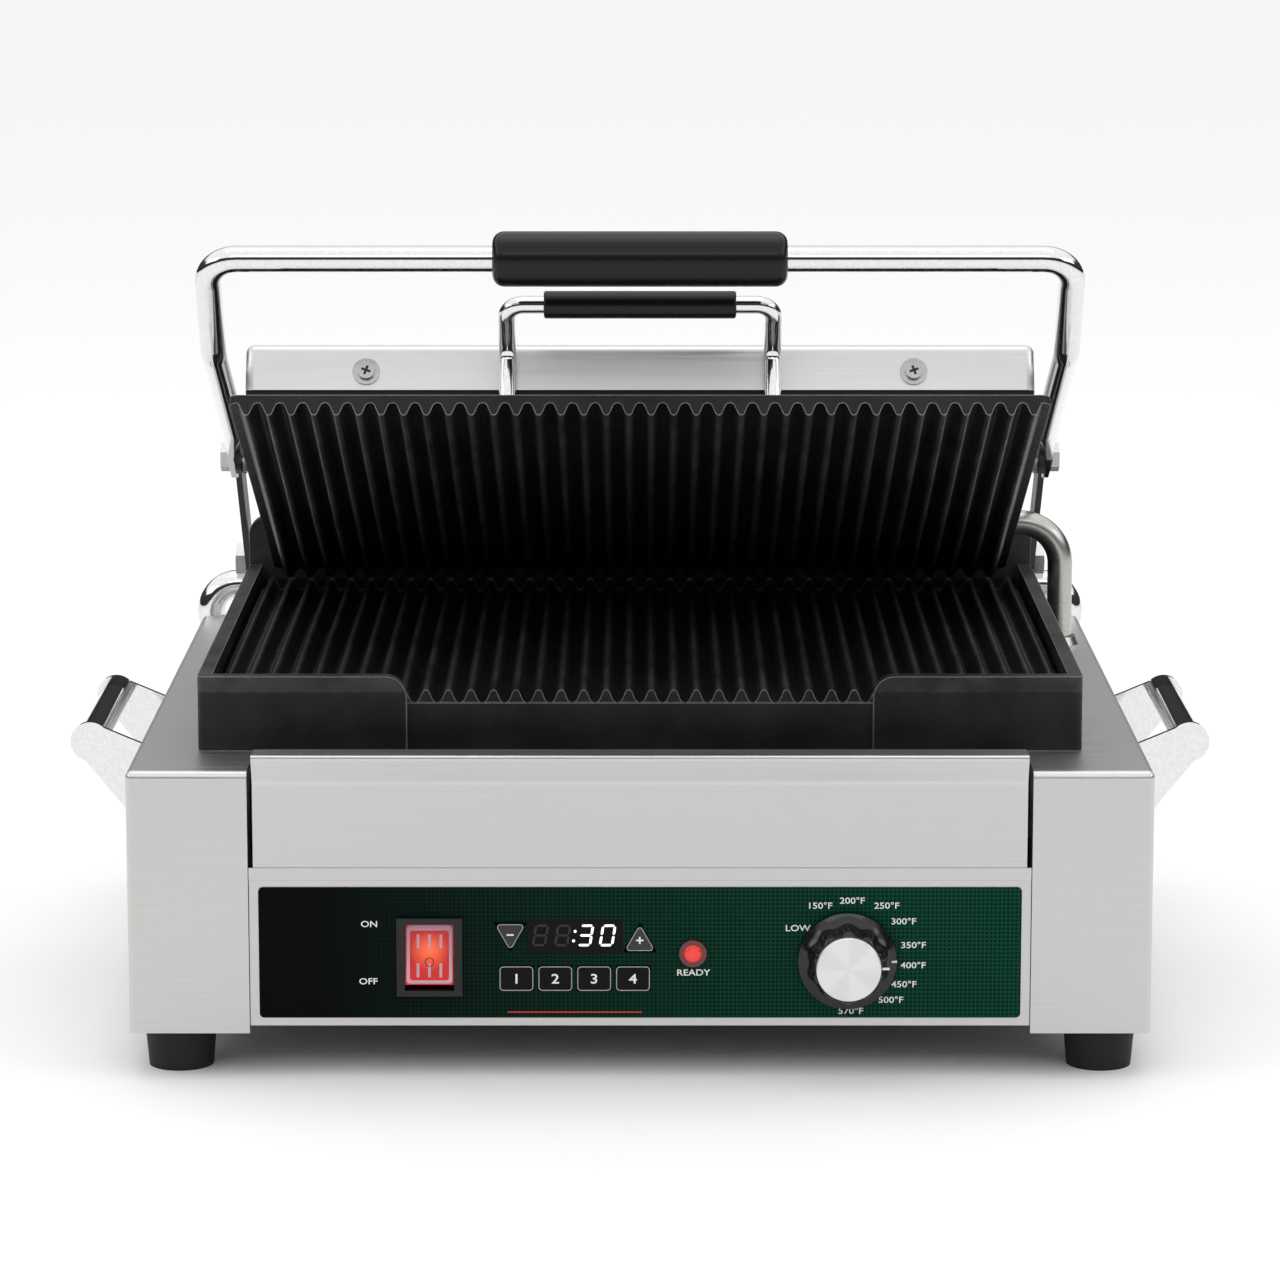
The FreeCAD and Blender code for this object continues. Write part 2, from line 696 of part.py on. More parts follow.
def hexagon_x(x0, x1, across, y, z):
    """A hexagonal bar along X between two numbers."""
    radius = across / math.sqrt(3)
    points = [(y + radius * math.cos(math.radians(60 * n)),
               z + radius * math.sin(math.radians(60 * n))) for n in range(6)]
    low, high = min(x0, x1), max(x0, x1)
    return side_plate(points, low, high)


def flipped(shape):
    """The mirror image of a shape across the middle plane."""
    return shape.mirror(Vector(0, 0, 0), Vector(1, 0, 0))


def both_sides(shape):
    """A shape and its mirror image as separate solids."""
    return Part.makeCompound([flipped(shape), shape])


def all_joined(shapes):
    """One solid from overlapping shapes."""
    return shapes[0].fuse(shapes[1:]).removeSplitter()


def placed(shape, label, y, z, tilt):
    """A sub-part made in a tilted frame whose origin is at (y, z)."""
    item = plain(shape)
    bind(item, "Placement.Base.y", y)
    bind(item, "Placement.Base.z", z)
    item.Placement = Placement(item.Placement.Base,
                               Rotation(Vector(-1, 0, 0), size(tilt)))
    bind(item, "Placement.Rotation.Angle", tilt)
    made(item, label)


def on_arms(shape, label):
    """A sub-part of the arms: its frame is at the hinge shaft, with Y down the arm."""
    placed(shape, label, HINGE_Y, HINGE_Z, "arm_tilt")


def on_plate(shape, label):
    """A sub-part of the top plate: its frame is at the plate's pivot."""
    placed(shape, label, PIVOT_Y, PIVOT_Z, "plate_tilt")


# ---------------------------------------------------------------- arms

ARM_OUT = size("arm_inner")
ARM_IN = size("arm_inner") - size("arm_jog")
THICK = size("arm_thick")
INBOARD = ARM_IN - 35
OUTBOARD = ARM_OUT + THICK + 20
REACH = size("arm_reach")
TUBE_X = size("lift_across")
ELBOW = (-size("elbow_reach"), size("elbow_rise"))


def arms():
    """Cranked flat arms, the shaft they turn with and the bolts of the top plate."""
    half = size("arm_half")
    outline = flat_bar([(0, 0), ELBOW, (-REACH, 0), (-REACH - 5, 0)], half,
                       INBOARD, OUTBOARD)
    eye = rod_x(INBOARD, OUTBOARD, half + 2, 0, 0)
    band = Part.Face(Part.makePolygon([
        Vector(ARM_OUT, 20, -40), Vector(ARM_OUT, -95, -40), Vector(ARM_IN, -150, -40),
        Vector(ARM_IN, -200, -40), Vector(ARM_IN + THICK, -200, -40),
        Vector(ARM_IN + THICK, -149.6, -40), Vector(ARM_OUT + THICK, -94.6, -40),
        Vector(ARM_OUT + THICK, 20, -40), Vector(ARM_OUT, 20, -40)]))
    band = band.extrude(Vector(0, 0, 120))
    arm = all_joined([outline, eye]).common(band)
    arm = arm.cut(rod_x(INBOARD, OUTBOARD, size("shaft_radius"), 0, 0))
    arm = arm.cut(rod_x(INBOARD, OUTBOARD, size("pivot_radius"), -REACH, 0))
    on_arms(arm, "right_arm")
    on_arms(flipped(arm), "left_arm")

    end = ARM_OUT + THICK + 5.5
    on_arms(rod_x(-end, end, size("shaft_radius"), 0, 0), "hinge_shaft")
    nut = hexagon_x(ARM_OUT + THICK, end - 0.5, 16, 0, 0)
    nut = nut.cut(rod_x(INBOARD, OUTBOARD, size("shaft_radius"), 0, 0))
    on_arms(both_sides(nut), "shaft_nuts")

    bolt_end = ARM_IN + 2 * THICK + size("pivot_nut")
    inner = size("cover_width") / 2 - 13.1
    bolt = all_joined([rod_x(inner - 2, bolt_end, size("pivot_radius"), -REACH, 0),
                       rod_x(inner - 3.9, inner - 0.1, 6.5, -REACH, 0)])
    on_arms(both_sides(bolt), "pivot_bolts")
    spacer = rod_x(size("cover_width") / 2 + 0.3, ARM_IN, 7, -REACH, 0)
    spacer = spacer.cut(rod_x(INBOARD, OUTBOARD, size("pivot_radius"), -REACH, 0))
    on_arms(both_sides(spacer), "pivot_spacers")
    nut = hexagon_x(ARM_IN + 2 * THICK, bolt_end, 12, -REACH, 0)
    nut = nut.cut(rod_x(INBOARD, bolt_end + 1, size("pivot_radius"), -REACH, 0))
    on_arms(both_sides(nut), "pivot_nuts")


def lift_handle():
    """The bent tube that lifts the top plate, and its grip."""
    radius = size("lift_radius")
    reach = size("lift_reach")
    front = size("lift_front")
    rise = size("lift_rise")
    start = REACH + 45
    points = [Vector(sign * TUBE_X, -y, z) for sign, y, z in (
        (1, start, 0), (1, reach, 0), (1, front, rise),
        (-1, front, rise), (-1, reach, 0), (-1, start, 0))]
    tube = swept_rod(points, radius, size("lift_bend"))
    tab_x0 = ARM_IN + THICK
    flat = side_plate([(-REACH + 12, -6.5), (-REACH + 12, 6.5),
                       (-REACH - 16, 6.5), (-REACH - 16, -6.5)], tab_x0, tab_x0 + THICK)
    flat = flat.cut(rod_x(INBOARD, OUTBOARD, size("pivot_radius"), -REACH, 0))
    y0 = -REACH - 16
    near = Part.makePolygon([Vector(tab_x0, y0, -6.5), Vector(tab_x0 + THICK, y0, -6.5),
                             Vector(tab_x0 + THICK, y0, 6.5), Vector(tab_x0, y0, 6.5),
                             Vector(tab_x0, y0, -6.5)])
    far = Part.Wire([Part.makeCircle(radius, Vector(TUBE_X, -start, 0), Vector(0, 1, 0))])
    neck = Part.makeLoft([near, far], True)
    handle = all_joined([tube, flat, neck, flipped(flat), flipped(neck)])
    on_arms(handle, "lift_tube")

    half = size("grip_length") / 2
    grip = rod_x(-half, half, size("grip_radius"), -front, rise)
    grip = round_edges(grip, 5.0, lambda edge: abs(abs(edge.CenterOfMass.x) - half) < 0.1)
    grip = grip.cut(rod_x(-OUTBOARD, OUTBOARD, radius, -front, rise))
    on_arms(grip, "lift_grip")


# ---------------------------------------------------------------- top plate


def top_plate():
    """The ribbed top plate, its cover, gasket, element and insulation."""
    half = size("plate_width") / 2
    deep = size("plate_length") / 2
    under = -size("plate_drop")
    seat = under + size("plate_thick")
    slab = ribbed_slab(half, -deep, deep, -under, -seat)
    slab = slab.rotate(Vector(0, 0, 0), Vector(0, 1, 0), 180)
    corner = solid_box((-half, half), (-deep, deep), (under - 1, seat + 1))
    corner = round_edges(corner, 5.0, lambda edge: runs_along(edge, "z"))
    heel = side_plate([(deep - 5, under - 0.1), (deep + 1, under - 0.1),
                       (deep + 1, under + 2.5)], -half - 1, half + 1)
    on_plate(slab.common(corner).cut(heel), "upper_plate")

    cover_half = size("cover_width") / 2
    y0 = -size("cover_front")
    y1 = size("cover_back")
    low = -size("cover_bottom")
    top = size("cover_top")
    wall = size("sheet_wall")
    shell = solid_box((-cover_half, cover_half), (y0, y1), (low, top))
    shell = round_edges(shell, 4.0, lambda edge: not (
        abs(edge.CenterOfMass.z - low) < 0.1))
    room = solid_box((-cover_half + wall, cover_half - wall), (y0 + wall, y1 - wall),
                     (low - 1, top - wall))
    room = round_edges(room, 2.5, lambda edge: not (
        abs(edge.CenterOfMass.z - low + 1) < 0.1))
    shell = shell.cut(room)
    shell = shell.cut(rod_x(-OUTBOARD, OUTBOARD, 6, 0, 0))
    shell = shell.cut(solid_box((cover_half - 12, cover_half + 2), (90, 119), (low - 1, 6)))
    screws = []
    for x in (-1, 1):
        for y, way in ((y0, -1), (y1, 1)):
            across = x * size("cover_screw_across")
            inner, outer = sorted((y - way * 8, y + way * 2))
            shell = shell.cut(rod_y(inner, outer, 2, across, 0.3))
            washer = rod_y(*sorted((y, y + way * 0.8)), 6, across, 0.3)
            head = rod_y(*sorted((y + way * 0.8, y + way * 2.8)), 3.8, across, 0.3)
            shank = rod_y(*sorted((y - way * 8, y + way * 1.5)), 2, across, 0.3)
            screws.append(all_joined([washer, head, shank]))
    on_plate(shell, "upper_cover")
    on_plate(Part.makeCompound(screws), "cover_screws")

    ring = solid_box((-cover_half + 0.6, cover_half - 0.6), (y0 + 0.5, y1 - 0.5),
                     (seat, low))
    ring = ring.cut(solid_box((-cover_half + 9, cover_half - 9), (y0 + 9, y1 - 9),
                              (seat - 1, low + 1)))
    ring = ring.cut(solid_box((cover_half - 12, cover_half + 2), (90, 119),
                              (seat - 1, low + 1)))
    for sign in (-1, 1):
        near, far = sorted((sign * (cover_half - 14), sign * (cover_half + 2)))
        ring = ring.cut(solid_box((near, far), (-14.3, 14.3), (seat - 1, low + 1)))
    on_plate(ring, "cover_gasket")

    radius = size("element_radius")
    z = seat + radius
    points = [Vector(x, y, z) for x, y in (
        (140, 70), (140, -110), (70, -110), (70, 60), (0, 60), (0, -110),
        (-70, -110), (-70, 60), (-140, 60), (-140, -110))]
    on_plate(swept_rod(points, radius, 18), "upper_element")
    pad = solid_box((-150, 150), (-118, 85), (z + radius, top - wall - 0.5))
    on_plate(pad, "upper_insulation")

    inner = cover_half - wall - 11.5
    block = solid_box((inner, cover_half - wall), (-14, 14), (seat, 9.5))
    block = block.cut(rod_x(100, 220, size("pivot_radius") + size("run_gap"), 0, 0))
    on_plate(both_sides(block), "pivot_blocks")


def plate_handle():
    """The small wire handle on the front edge of the top plate."""
    radius = size("loop_radius")
    half = size("loop_half")
    leg = -size("cover_front") - radius - 0.4
    foot = -size("plate_drop") + size("plate_thick")
    reach = -size("loop_front")
    rise = size("loop_rise")
    points = [Vector(half, leg, foot), Vector(half, leg, 8), Vector(half, reach, rise),
              Vector(-half, reach, rise), Vector(-half, leg, 8), Vector(-half, leg, foot)]
    on_plate(swept_rod(points, radius, 7.5), "plate_handle")
    long = size("loop_grip") / 2
    grip = rod_x(-long, long, 6, reach, rise)
    grip = round_edges(grip, 1.2, lambda edge: abs(abs(edge.CenterOfMass.x) - long) < 0.1)
    on_plate(grip.cut(rod_x(-OUTBOARD, OUTBOARD, radius, reach, rise)), "plate_grip")


# ---------------------------------------------------------------- conduit


def conduit():
    """The stiff conduit that brings the wires up to the top plate, and its ferrule."""
    x = size("conduit_out")
    y = front_y + size("conduit_back")
    top = top_z + size("conduit_rise")
    points = [Vector(x, y, top_z - size("conduit_tail")), Vector(x, y, top),
              Vector(x - 36, y, top)]
    tube = swept_rod(points, size("conduit_radius"), size("conduit_bend"))
    made(plain(tube), "conduit")

    hole = size("conduit_radius") + 0.1
    ferrule = all_joined([
        Part.makeCone(9.5, 8, 4, Vector(x, y, top_z)),
        rod_z(top_z - 6, top_z + 1, size("conduit_radius") + 2.5, x, y)])
    made(plain(ferrule.cut(rod_z(top_z - 20, top_z + 20, hole, x, y))), "conduit_ferrule")


# ---------------------------------------------------------------- base fittings


def element():
    """The heating element under the lower plate and the plate that clamps it."""
    half = size("cast_width") / 2 - 40
    y0 = front_y + size("cast_front") + 30
    y1 = y0 + size("cast_depth") - 60
    under = top_z + size("floor_rise")
    radius = size("element_radius")
    z = under - radius
    points = [Vector(x, y, z) for x, y in (
        (half, y1 - 20), (half, y0), (half / 2, y0), (half / 2, y1), (0, y1), (0, y0),
        (-half / 2, y0), (-half / 2, y1), (-half, y1), (-half, y0))]
    made(plain(swept_rod(points, radius, 18)), "lower_element")
    clamp = solid_box((-half, half), (y0 + 20, y1 - 20), (z - radius - 1.5, z - radius))
    made(plain(clamp), "clamp_plate")


def hinge_towers():
    """The brackets, bushes and counterbalance springs of the hinge shaft."""
    y = front_y + size("hinge_back")
    z = top_z + size("hinge_rise")
    inner = size("tower_out") - size("tower_thick")
    outer = size("tower_out")
    eye = size("tower_boss")
    web = side_plate([(y - 18, top_z), (y + eye, top_z), (y + eye, z), (y - eye, z)],
                     inner, outer)
    flange = solid_box((inner, outer + 14), (y - 18, y + eye), (top_z, top_z + 3))
    tower = all_joined([web, rod_x(inner, outer, eye, y, z), flange])
    tower = tower.cut(rod_x(inner - 1, outer + 1, size("bush_radius"), y, z))
    made(plain(both_sides(tower)), "hinge_towers")
    bush = rod_x(inner, outer, size("bush_radius"), y, z)
    bush = bush.cut(rod_x(inner - 1, outer + 1,
                          size("shaft_radius") + size("run_gap"), y, z))
    made(plain(both_sides(bush)), "hinge_bushes")

    coil = size("coil_radius")
    wire = size("coil_wire")
    helix = Part.makeHelix(size("coil_pitch"), size("coil_length"), coil)
    circle = Part.Wire([Part.makeCircle(wire, Vector(coil, 0, 0), Vector(0, 1, 0))])
    spring = Part.Wire(helix.Edges).makePipeShell([circle], True, True)
    spring.rotate(Vector(0, 0, 0), Vector(0, 1, 0), 90)
    spring.rotate(Vector(0, 0, 0), Vector(1, 0, 0), -90)
    start = inner - 6 - size("coil_length")
    spring.translate(Vector(start, y, z))
    first = Vector(start, y, z - coil)
    leg = rod_between(first, Vector(start, y - coil, top_z), wire)
    leg = leg.common(solid_box((0, 200), (y - 40, y + 40), (top_z, z)))
    made(plain(both_sides(all_joined([spring, leg]))), "counter_springs")


def guard_tube():
    """The tube round the back that keeps the grill off the wall, and its flanges."""
    radius = size("guard_radius")
    face = front_y + size("body_depth")
    y = face + size("guard_gap")
    low = size("guard_low")
    high = top_z + 13
    near = size("body_width") / 2 - size("guard_inset")
    far = near + 12.8
    points = [Vector(near, face, low), Vector(near, y, low), Vector(far, y, high),
              Vector(-far, y, high), Vector(-near, y, low), Vector(-near, face, low)]
    made(plain(swept_rod(points, radius, 14)), "guard_tube")
    flange = rod_y(face, face + 3, radius + 5, near, low)
    flange = flange.cut(rod_y(face - 1, face + 4, radius, near, low))
    made(plain(both_sides(flange)), "guard_flanges")


def side_handles():
    """A chromed bar between two brackets on each side."""
    side = size("body_width") / 2
    y0 = front_y + size("side_front")
    y1 = y0 + size("side_length")
    plate = size("side_plate")
    x = side + size("side_reach") - 9.5
    z = top_z - 12.5
    outline = [(side, top_z - 15.5), (side + 24, top_z - 5.4), (side + 35, top_z - 16),
               (side, top_z - 59.5)]
    brackets = []
    for y, inward in ((y0, 1), (y1, -1)):
        corners = [Vector(px, y, pz) for px, pz in outline]
        web = Part.Face(Part.makePolygon(corners + [corners[0]]))
        web = web.extrude(Vector(0, plate, 0))
        tip = rod_y(y, y + plate, 9, x, z)
        fold_y = (y, y + 15) if inward > 0 else (y + plate - 15, y + plate)
        fold = solid_box((side, side + plate), fold_y, (top_z - 55, top_z - 22))
        brackets.append(all_joined([web, tip, fold]))
    for sign, name in ((1, "right"), (-1, "left")):
        bar = rod_y(y0 + plate, y1, size("side_bar"), x, z)
        made(plain(flipped(bar) if sign < 0 else bar), f"{name}_handle_bar")
    made(plain(Part.makeCompound([both_sides(bracket) for bracket in brackets])),
         "handle_brackets")


def cord_gland():
    """The gland where the supply lead enters."""
    y = front_y + size("body_depth")
    x = -150
    z = size("foot_height") + 28
    gland = all_joined([rod_y(y - 12, y + 1, 8, x, z), rod_y(y, y + 6, 11, x, z)])
    made(plain(gland.cut(rod_y(y - 20, y + 20, size("gland_bore"), x, z))), "cord_gland")


REAR_SCREWS = [(x, z) for x in (-200, 0, 200) for z in (32, 124)]


def rear_screws():
    """The screws of the rear panel."""
    y = front_y + size("body_depth")
    screws = [all_joined([rod_y(y - 6, y + 0.5, 1.6, x, z), rod_y(y, y + 1.8, 3.5, x, z)])
              for x, z in REAR_SCREWS]
    made(plain(Part.makeCompound(screws)), "rear_screws")


# ---------------------------------------------------------------- controls

KNOB_X = size("knob_across")
KNOB_Z = size("foot_height") + size("knob_up")
SWITCH_X = -size("switch_across")
SWITCH_Z = size("foot_height") + size("switch_up")
LAMP_X = size("lamp_across")
LAMP_Z = size("foot_height") + size("lamp_up")
ARROW_Z = size("foot_height") + size("arrow_up")
WINDOW_X = -size("window_across")
WINDOW_Z = ARROW_Z + 0.4
KEYS = [(f"key_{n + 1}", -size("key_left") + n * size("key_pitch"),
         size("foot_height") + size("key_up")) for n in range(4)]
ARROWS = [("key_minus", WINDOW_X - size("arrow_apart"), -1),
          ("key_plus", WINDOW_X + size("arrow_apart"), 1)]


def triangle(across, x, z, way, y0, y1):
    """A triangular bar along Y that points up (way 1) or down (way -1)."""
    half = across / 2
    high = across * 0.45
    corners = [Vector(x - half, y0, z - way * high), Vector(x + half, y0, z - way * high),
               Vector(x, y0, z + way * high)]
    face = Part.Face(Part.makePolygon(corners + [corners[0]]))
    return face.extrude(Vector(0, y1 - y0, 0))


def around(x, z, width, height, y0, y1):
    """A box from y0 to y1 centred on (x, z)."""
    return solid_box((x - width / 2, x + width / 2), (y0, y1),
                     (z - height / 2, z + height / 2))


def panel_holes(y0, y1):
    """Everything that goes through the control panel and its overlay."""
    gap = 2 * size("fit_gap")
    holes = [
        rod_y(y0, y1, 5, KNOB_X, KNOB_Z),
        around(SWITCH_X, SWITCH_Z, size("switch_width") - 4, size("switch_height") - 4,
               y0, y1),
        around(WINDOW_X, WINDOW_Z, size("window_width"), size("window_height"), y0, y1),
        rod_y(y0, y1, size("lamp_radius") - 1.2, LAMP_X, LAMP_Z),
    ]
    for _, x, z in KEYS:
        holes.append(around(x, z, size("key_width") + gap, size("key_height") + gap,
                            y0, y1))
    for _, x, way in ARROWS:
        holes.append(triangle(size("arrow_width") + 3 * gap, x, ARROW_Z, way, y0, y1))
    return holes


def control_panel():
    """The steel panel behind the overlay, with folded edges, and the overlay itself."""
    half = size("body_width") / 2 - size("post_width") - size("fit_gap")
    y0 = front_y + 1.2
    low = size("foot_height") + 3.2
    high = size("foot_height") + size("shelf_rise") - 0.2
    sheet_part = solid_box((-half, half), (y0, y0 + 1.5), (low, high))
    folds = [solid_box((-half, half), (y0, y0 + 10), (low, low + 1.2)),
             solid_box((-half, half), (y0, y0 + 10), (high - 1.2, high))]
    folded = all_joined([sheet_part] + folds)
    for hole in panel_holes(y0 - 5, y0 + 5):
        folded = folded.cut(hole)
    made(plain(folded), "control_panel")
    edge = size("panel_edge")
    face = size("overlay_thick")
    film = solid_box((-half + edge + 1, half - edge - 1), (y0 - face, y0),
                     (low + edge + 0.6, high - edge))
    film = round_edges(film, 2.0, lambda side: runs_along(side, "y"))
    for hole in panel_holes(y0 - 5, y0 + 5):
        film = film.cut(hole)
    made(plain(film), "panel_overlay")


def thermostat():
    """The thermostat behind the panel and the knob that turns it."""
    y = front_y
    body = all_joined([
        around(KNOB_X, KNOB_Z, 48, 44, y + 8, y + 34),
        rod_y(y + 1, y + 9, 4.9, KNOB_X, KNOB_Z),
        around(KNOB_X - 18, KNOB_Z, 6, 20, y + 2.7, y + 9),
        around(KNOB_X + 18, KNOB_Z, 6, 20, y + 2.7, y + 9)])
    bore = rod_y(y - 5, y + 22, 3 + size("run_gap"), KNOB_X, KNOB_Z)
    made(plain(body.cut(bore)), "thermostat_body")

    skirt = Part.makeCone(size("skirt_radius"), size("knob_radius") + 1.5, 3,
                          Vector(KNOB_X, y - 1, KNOB_Z), Vector(0, -1, 0))
    grip = rod_y(y - 16, y - 3.5, size("knob_radius"), KNOB_X, KNOB_Z)
    for n in range(16):
        angle = math.radians(22.5 * n + 11.25)
        reach = size("knob_radius") + 0.9
        grip = grip.cut(rod_y(y - 17, y - 4, 2, KNOB_X + reach * math.sin(angle),
                              KNOB_Z + reach * math.cos(angle)))
    shaft = rod_y(y - 2, y + 20, 3, KNOB_X, KNOB_Z)
    made(plain(all_joined([skirt, grip, shaft])), "knob")
    cap = rod_y(y - size("knob_reach"), y - 16, size("cap_radius"), KNOB_X, KNOB_Z)
    cap = round_edges(cap, 0.8, lambda edge: abs(
        edge.CenterOfMass.y - y + size("knob_reach")) < 0.1)
    made(plain(cap), "knob_cap")


def power_switch():
    """The switch housing and its rocker, drawn switched on."""
    y = front_y
    wide = size("switch_width")
    high = size("switch_height")
    pivot = y + 5
    frame = all_joined([around(SWITCH_X, SWITCH_Z, wide, high, y - 2.2, y + 0.5),
                        around(SWITCH_X, SWITCH_Z, wide - 4, high - 4, y, y + 18)])
    frame = frame.cut(around(SWITCH_X, SWITCH_Z, 21.2, 29.2, y - 5, y + 15))
    frame = frame.cut(rod_x(SWITCH_X - 11.7, SWITCH_X + 11.7, 1.5 + size("run_gap"),
                            pivot, SWITCH_Z))
    made(plain(frame), "switch_housing")
    rocker = side_plate([(-6, -13), (-5.2, 0), (-6, 13), (0, 12.5), (5, 4), (5, -4),
                         (0, -12.5)], -10.3, 10.3)
    rocker = all_joined([rocker, rod_x(-11.5, 11.5, 1.5, 0, 0)])
    item = plain(rocker)
    item.Placement = Placement(Vector(SWITCH_X, pivot, SWITCH_Z),
                               Rotation(Vector(-1, 0, 0), size("rocker_tilt")))
    bind(item, "Placement.Rotation.Angle", "rocker_tilt")
    made(item, "power_rocker")


def timer():
    """The timer's board, window and keys."""
    y = front_y
    back = y + 7.2
    board = [around(WINDOW_X, WINDOW_Z - 5, 84, 48, y + 8, y + 9.6)]
    for _, x, z in KEYS:
        board.append(rod_y(back, y + 8.5, 2.5, x, z))
    for _, x, _ in ARROWS:
        board.append(rod_y(back, y + 8.5, 2.5, x, ARROW_Z))
    for x in (WINDOW_X - 38, WINDOW_X + 38):
        board.append(rod_y(y + 2.7, y + 8.5, 2.2, x, WINDOW_Z - 13))
    made(plain(all_joined(board)), "timer_board")
    window = around(WINDOW_X, WINDOW_Z, size("window_width"), size("window_height"),
                    y + 0.7, y + 3.4)
    made(plain(window), "display_window")
    for name, x, z in KEYS:
        cap = around(x, z, size("key_width"), size("key_height"), y - 0.2, y + 2)
        cap = round_edges(cap, 1.6, lambda edge: runs_along(edge, "y"))
        stem = rod_y(y + 1, back - size("key_travel") - 0.1, 2.5, x, z)
        made(plain(all_joined([cap, stem])), name)
    for name, x, way in ARROWS:
        cap = triangle(size("arrow_width"), x, ARROW_Z, way, y - 0.2, y + 2)
        cap = round_edges(cap, 1.3, lambda edge: runs_along(edge, "y"))
        stem = rod_y(y + 1, back - size("key_travel") - 0.1, 2.5, x, ARROW_Z)
        made(plain(all_joined([cap, stem])), name)


def ready_lamp():
    """The lamp that shows when the set heat is reached."""
    y = front_y
    radius = size("lamp_radius")
    barrel = radius - 1.2
    lens = radius - 2
    bezel = all_joined([rod_y(y - 0.8, y + 0.5, radius, LAMP_X, LAMP_Z),
                        rod_y(y, y + 14, barrel, LAMP_X, LAMP_Z)])
    made(plain(bezel.cut(rod_y(y - 5, y + 20, lens, LAMP_X, LAMP_Z))), "lamp_bezel")
    jewel = rod_y(y - 1.8, y + 12, lens, LAMP_X, LAMP_Z)
    jewel = round_edges(jewel, 1.2, lambda edge: abs(
        edge.CenterOfMass.y - y + 1.8) < 0.1)
    made(plain(jewel), "lamp_lens")


# ---------------------------------------------------------------- build and export

housing()
rear_panel()
bottom_plate()
feet()
tray_shelf()
drip_tray()
lower_plate()
element()
control_panel()
thermostat()
power_switch()
timer()
ready_lamp()
hinge_towers()
guard_tube()
side_handles()
cord_gland()
rear_screws()
arms()
lift_handle()
top_plate()
plate_handle()
conduit()

doc.recompute()
for item in doc.Objects:
    for word in ("Invalid", "Error"):
        if word in item.State:
            raise RuntimeError(f"{item.Label} is in state {item.State}")

os.makedirs("parts", exist_ok=True)
for item in subparts:
    if item.Shape.isNull() or not item.Shape.isValid():
        raise RuntimeError(f"{item.Label} has a bad shape")
    item.Shape.exportStep(f"parts/{item.Label}.step")
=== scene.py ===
"""Looks of the countertop panini grill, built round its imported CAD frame.

Everything is in metres, +Z up, with the controls facing -Y. Each sub-assembly is a class
that holds its sizes, builds its surfaces with numpy and dresses the CAD nodes it owns.
"""

import logging
import math
from dataclasses import dataclass
from enum import Enum

import bpy
import numpy as np
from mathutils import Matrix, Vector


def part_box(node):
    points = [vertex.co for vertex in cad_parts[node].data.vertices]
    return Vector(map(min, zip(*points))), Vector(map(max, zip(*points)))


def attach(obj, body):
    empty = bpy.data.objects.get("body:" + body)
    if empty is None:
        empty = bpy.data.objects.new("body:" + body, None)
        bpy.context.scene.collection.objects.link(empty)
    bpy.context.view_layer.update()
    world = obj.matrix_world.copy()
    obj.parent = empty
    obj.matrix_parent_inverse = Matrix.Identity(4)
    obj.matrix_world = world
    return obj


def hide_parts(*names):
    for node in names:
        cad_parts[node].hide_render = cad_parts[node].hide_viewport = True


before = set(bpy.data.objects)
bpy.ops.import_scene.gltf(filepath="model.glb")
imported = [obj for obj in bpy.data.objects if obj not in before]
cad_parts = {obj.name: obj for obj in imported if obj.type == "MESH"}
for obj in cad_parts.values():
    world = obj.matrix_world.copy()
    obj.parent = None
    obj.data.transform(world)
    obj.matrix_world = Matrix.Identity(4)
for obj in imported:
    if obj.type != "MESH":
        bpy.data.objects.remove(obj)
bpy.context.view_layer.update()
LOG = logging.getLogger("panini_grill")
Socket = bpy.types.NodeSocket

# The scale of the brushing's noise: long across the machine and fine the other ways.
BRUSHING = (14.0, 1400.0, 1400.0)


class Side(Enum):
    """A side of the machine, as the sign of its X."""

    LEFT = -1
    RIGHT = 1


class Way(Enum):
    """The way a triangular key points, as the sign of its Z."""

    UP = 1
    DOWN = -1


# ---------------- node helpers


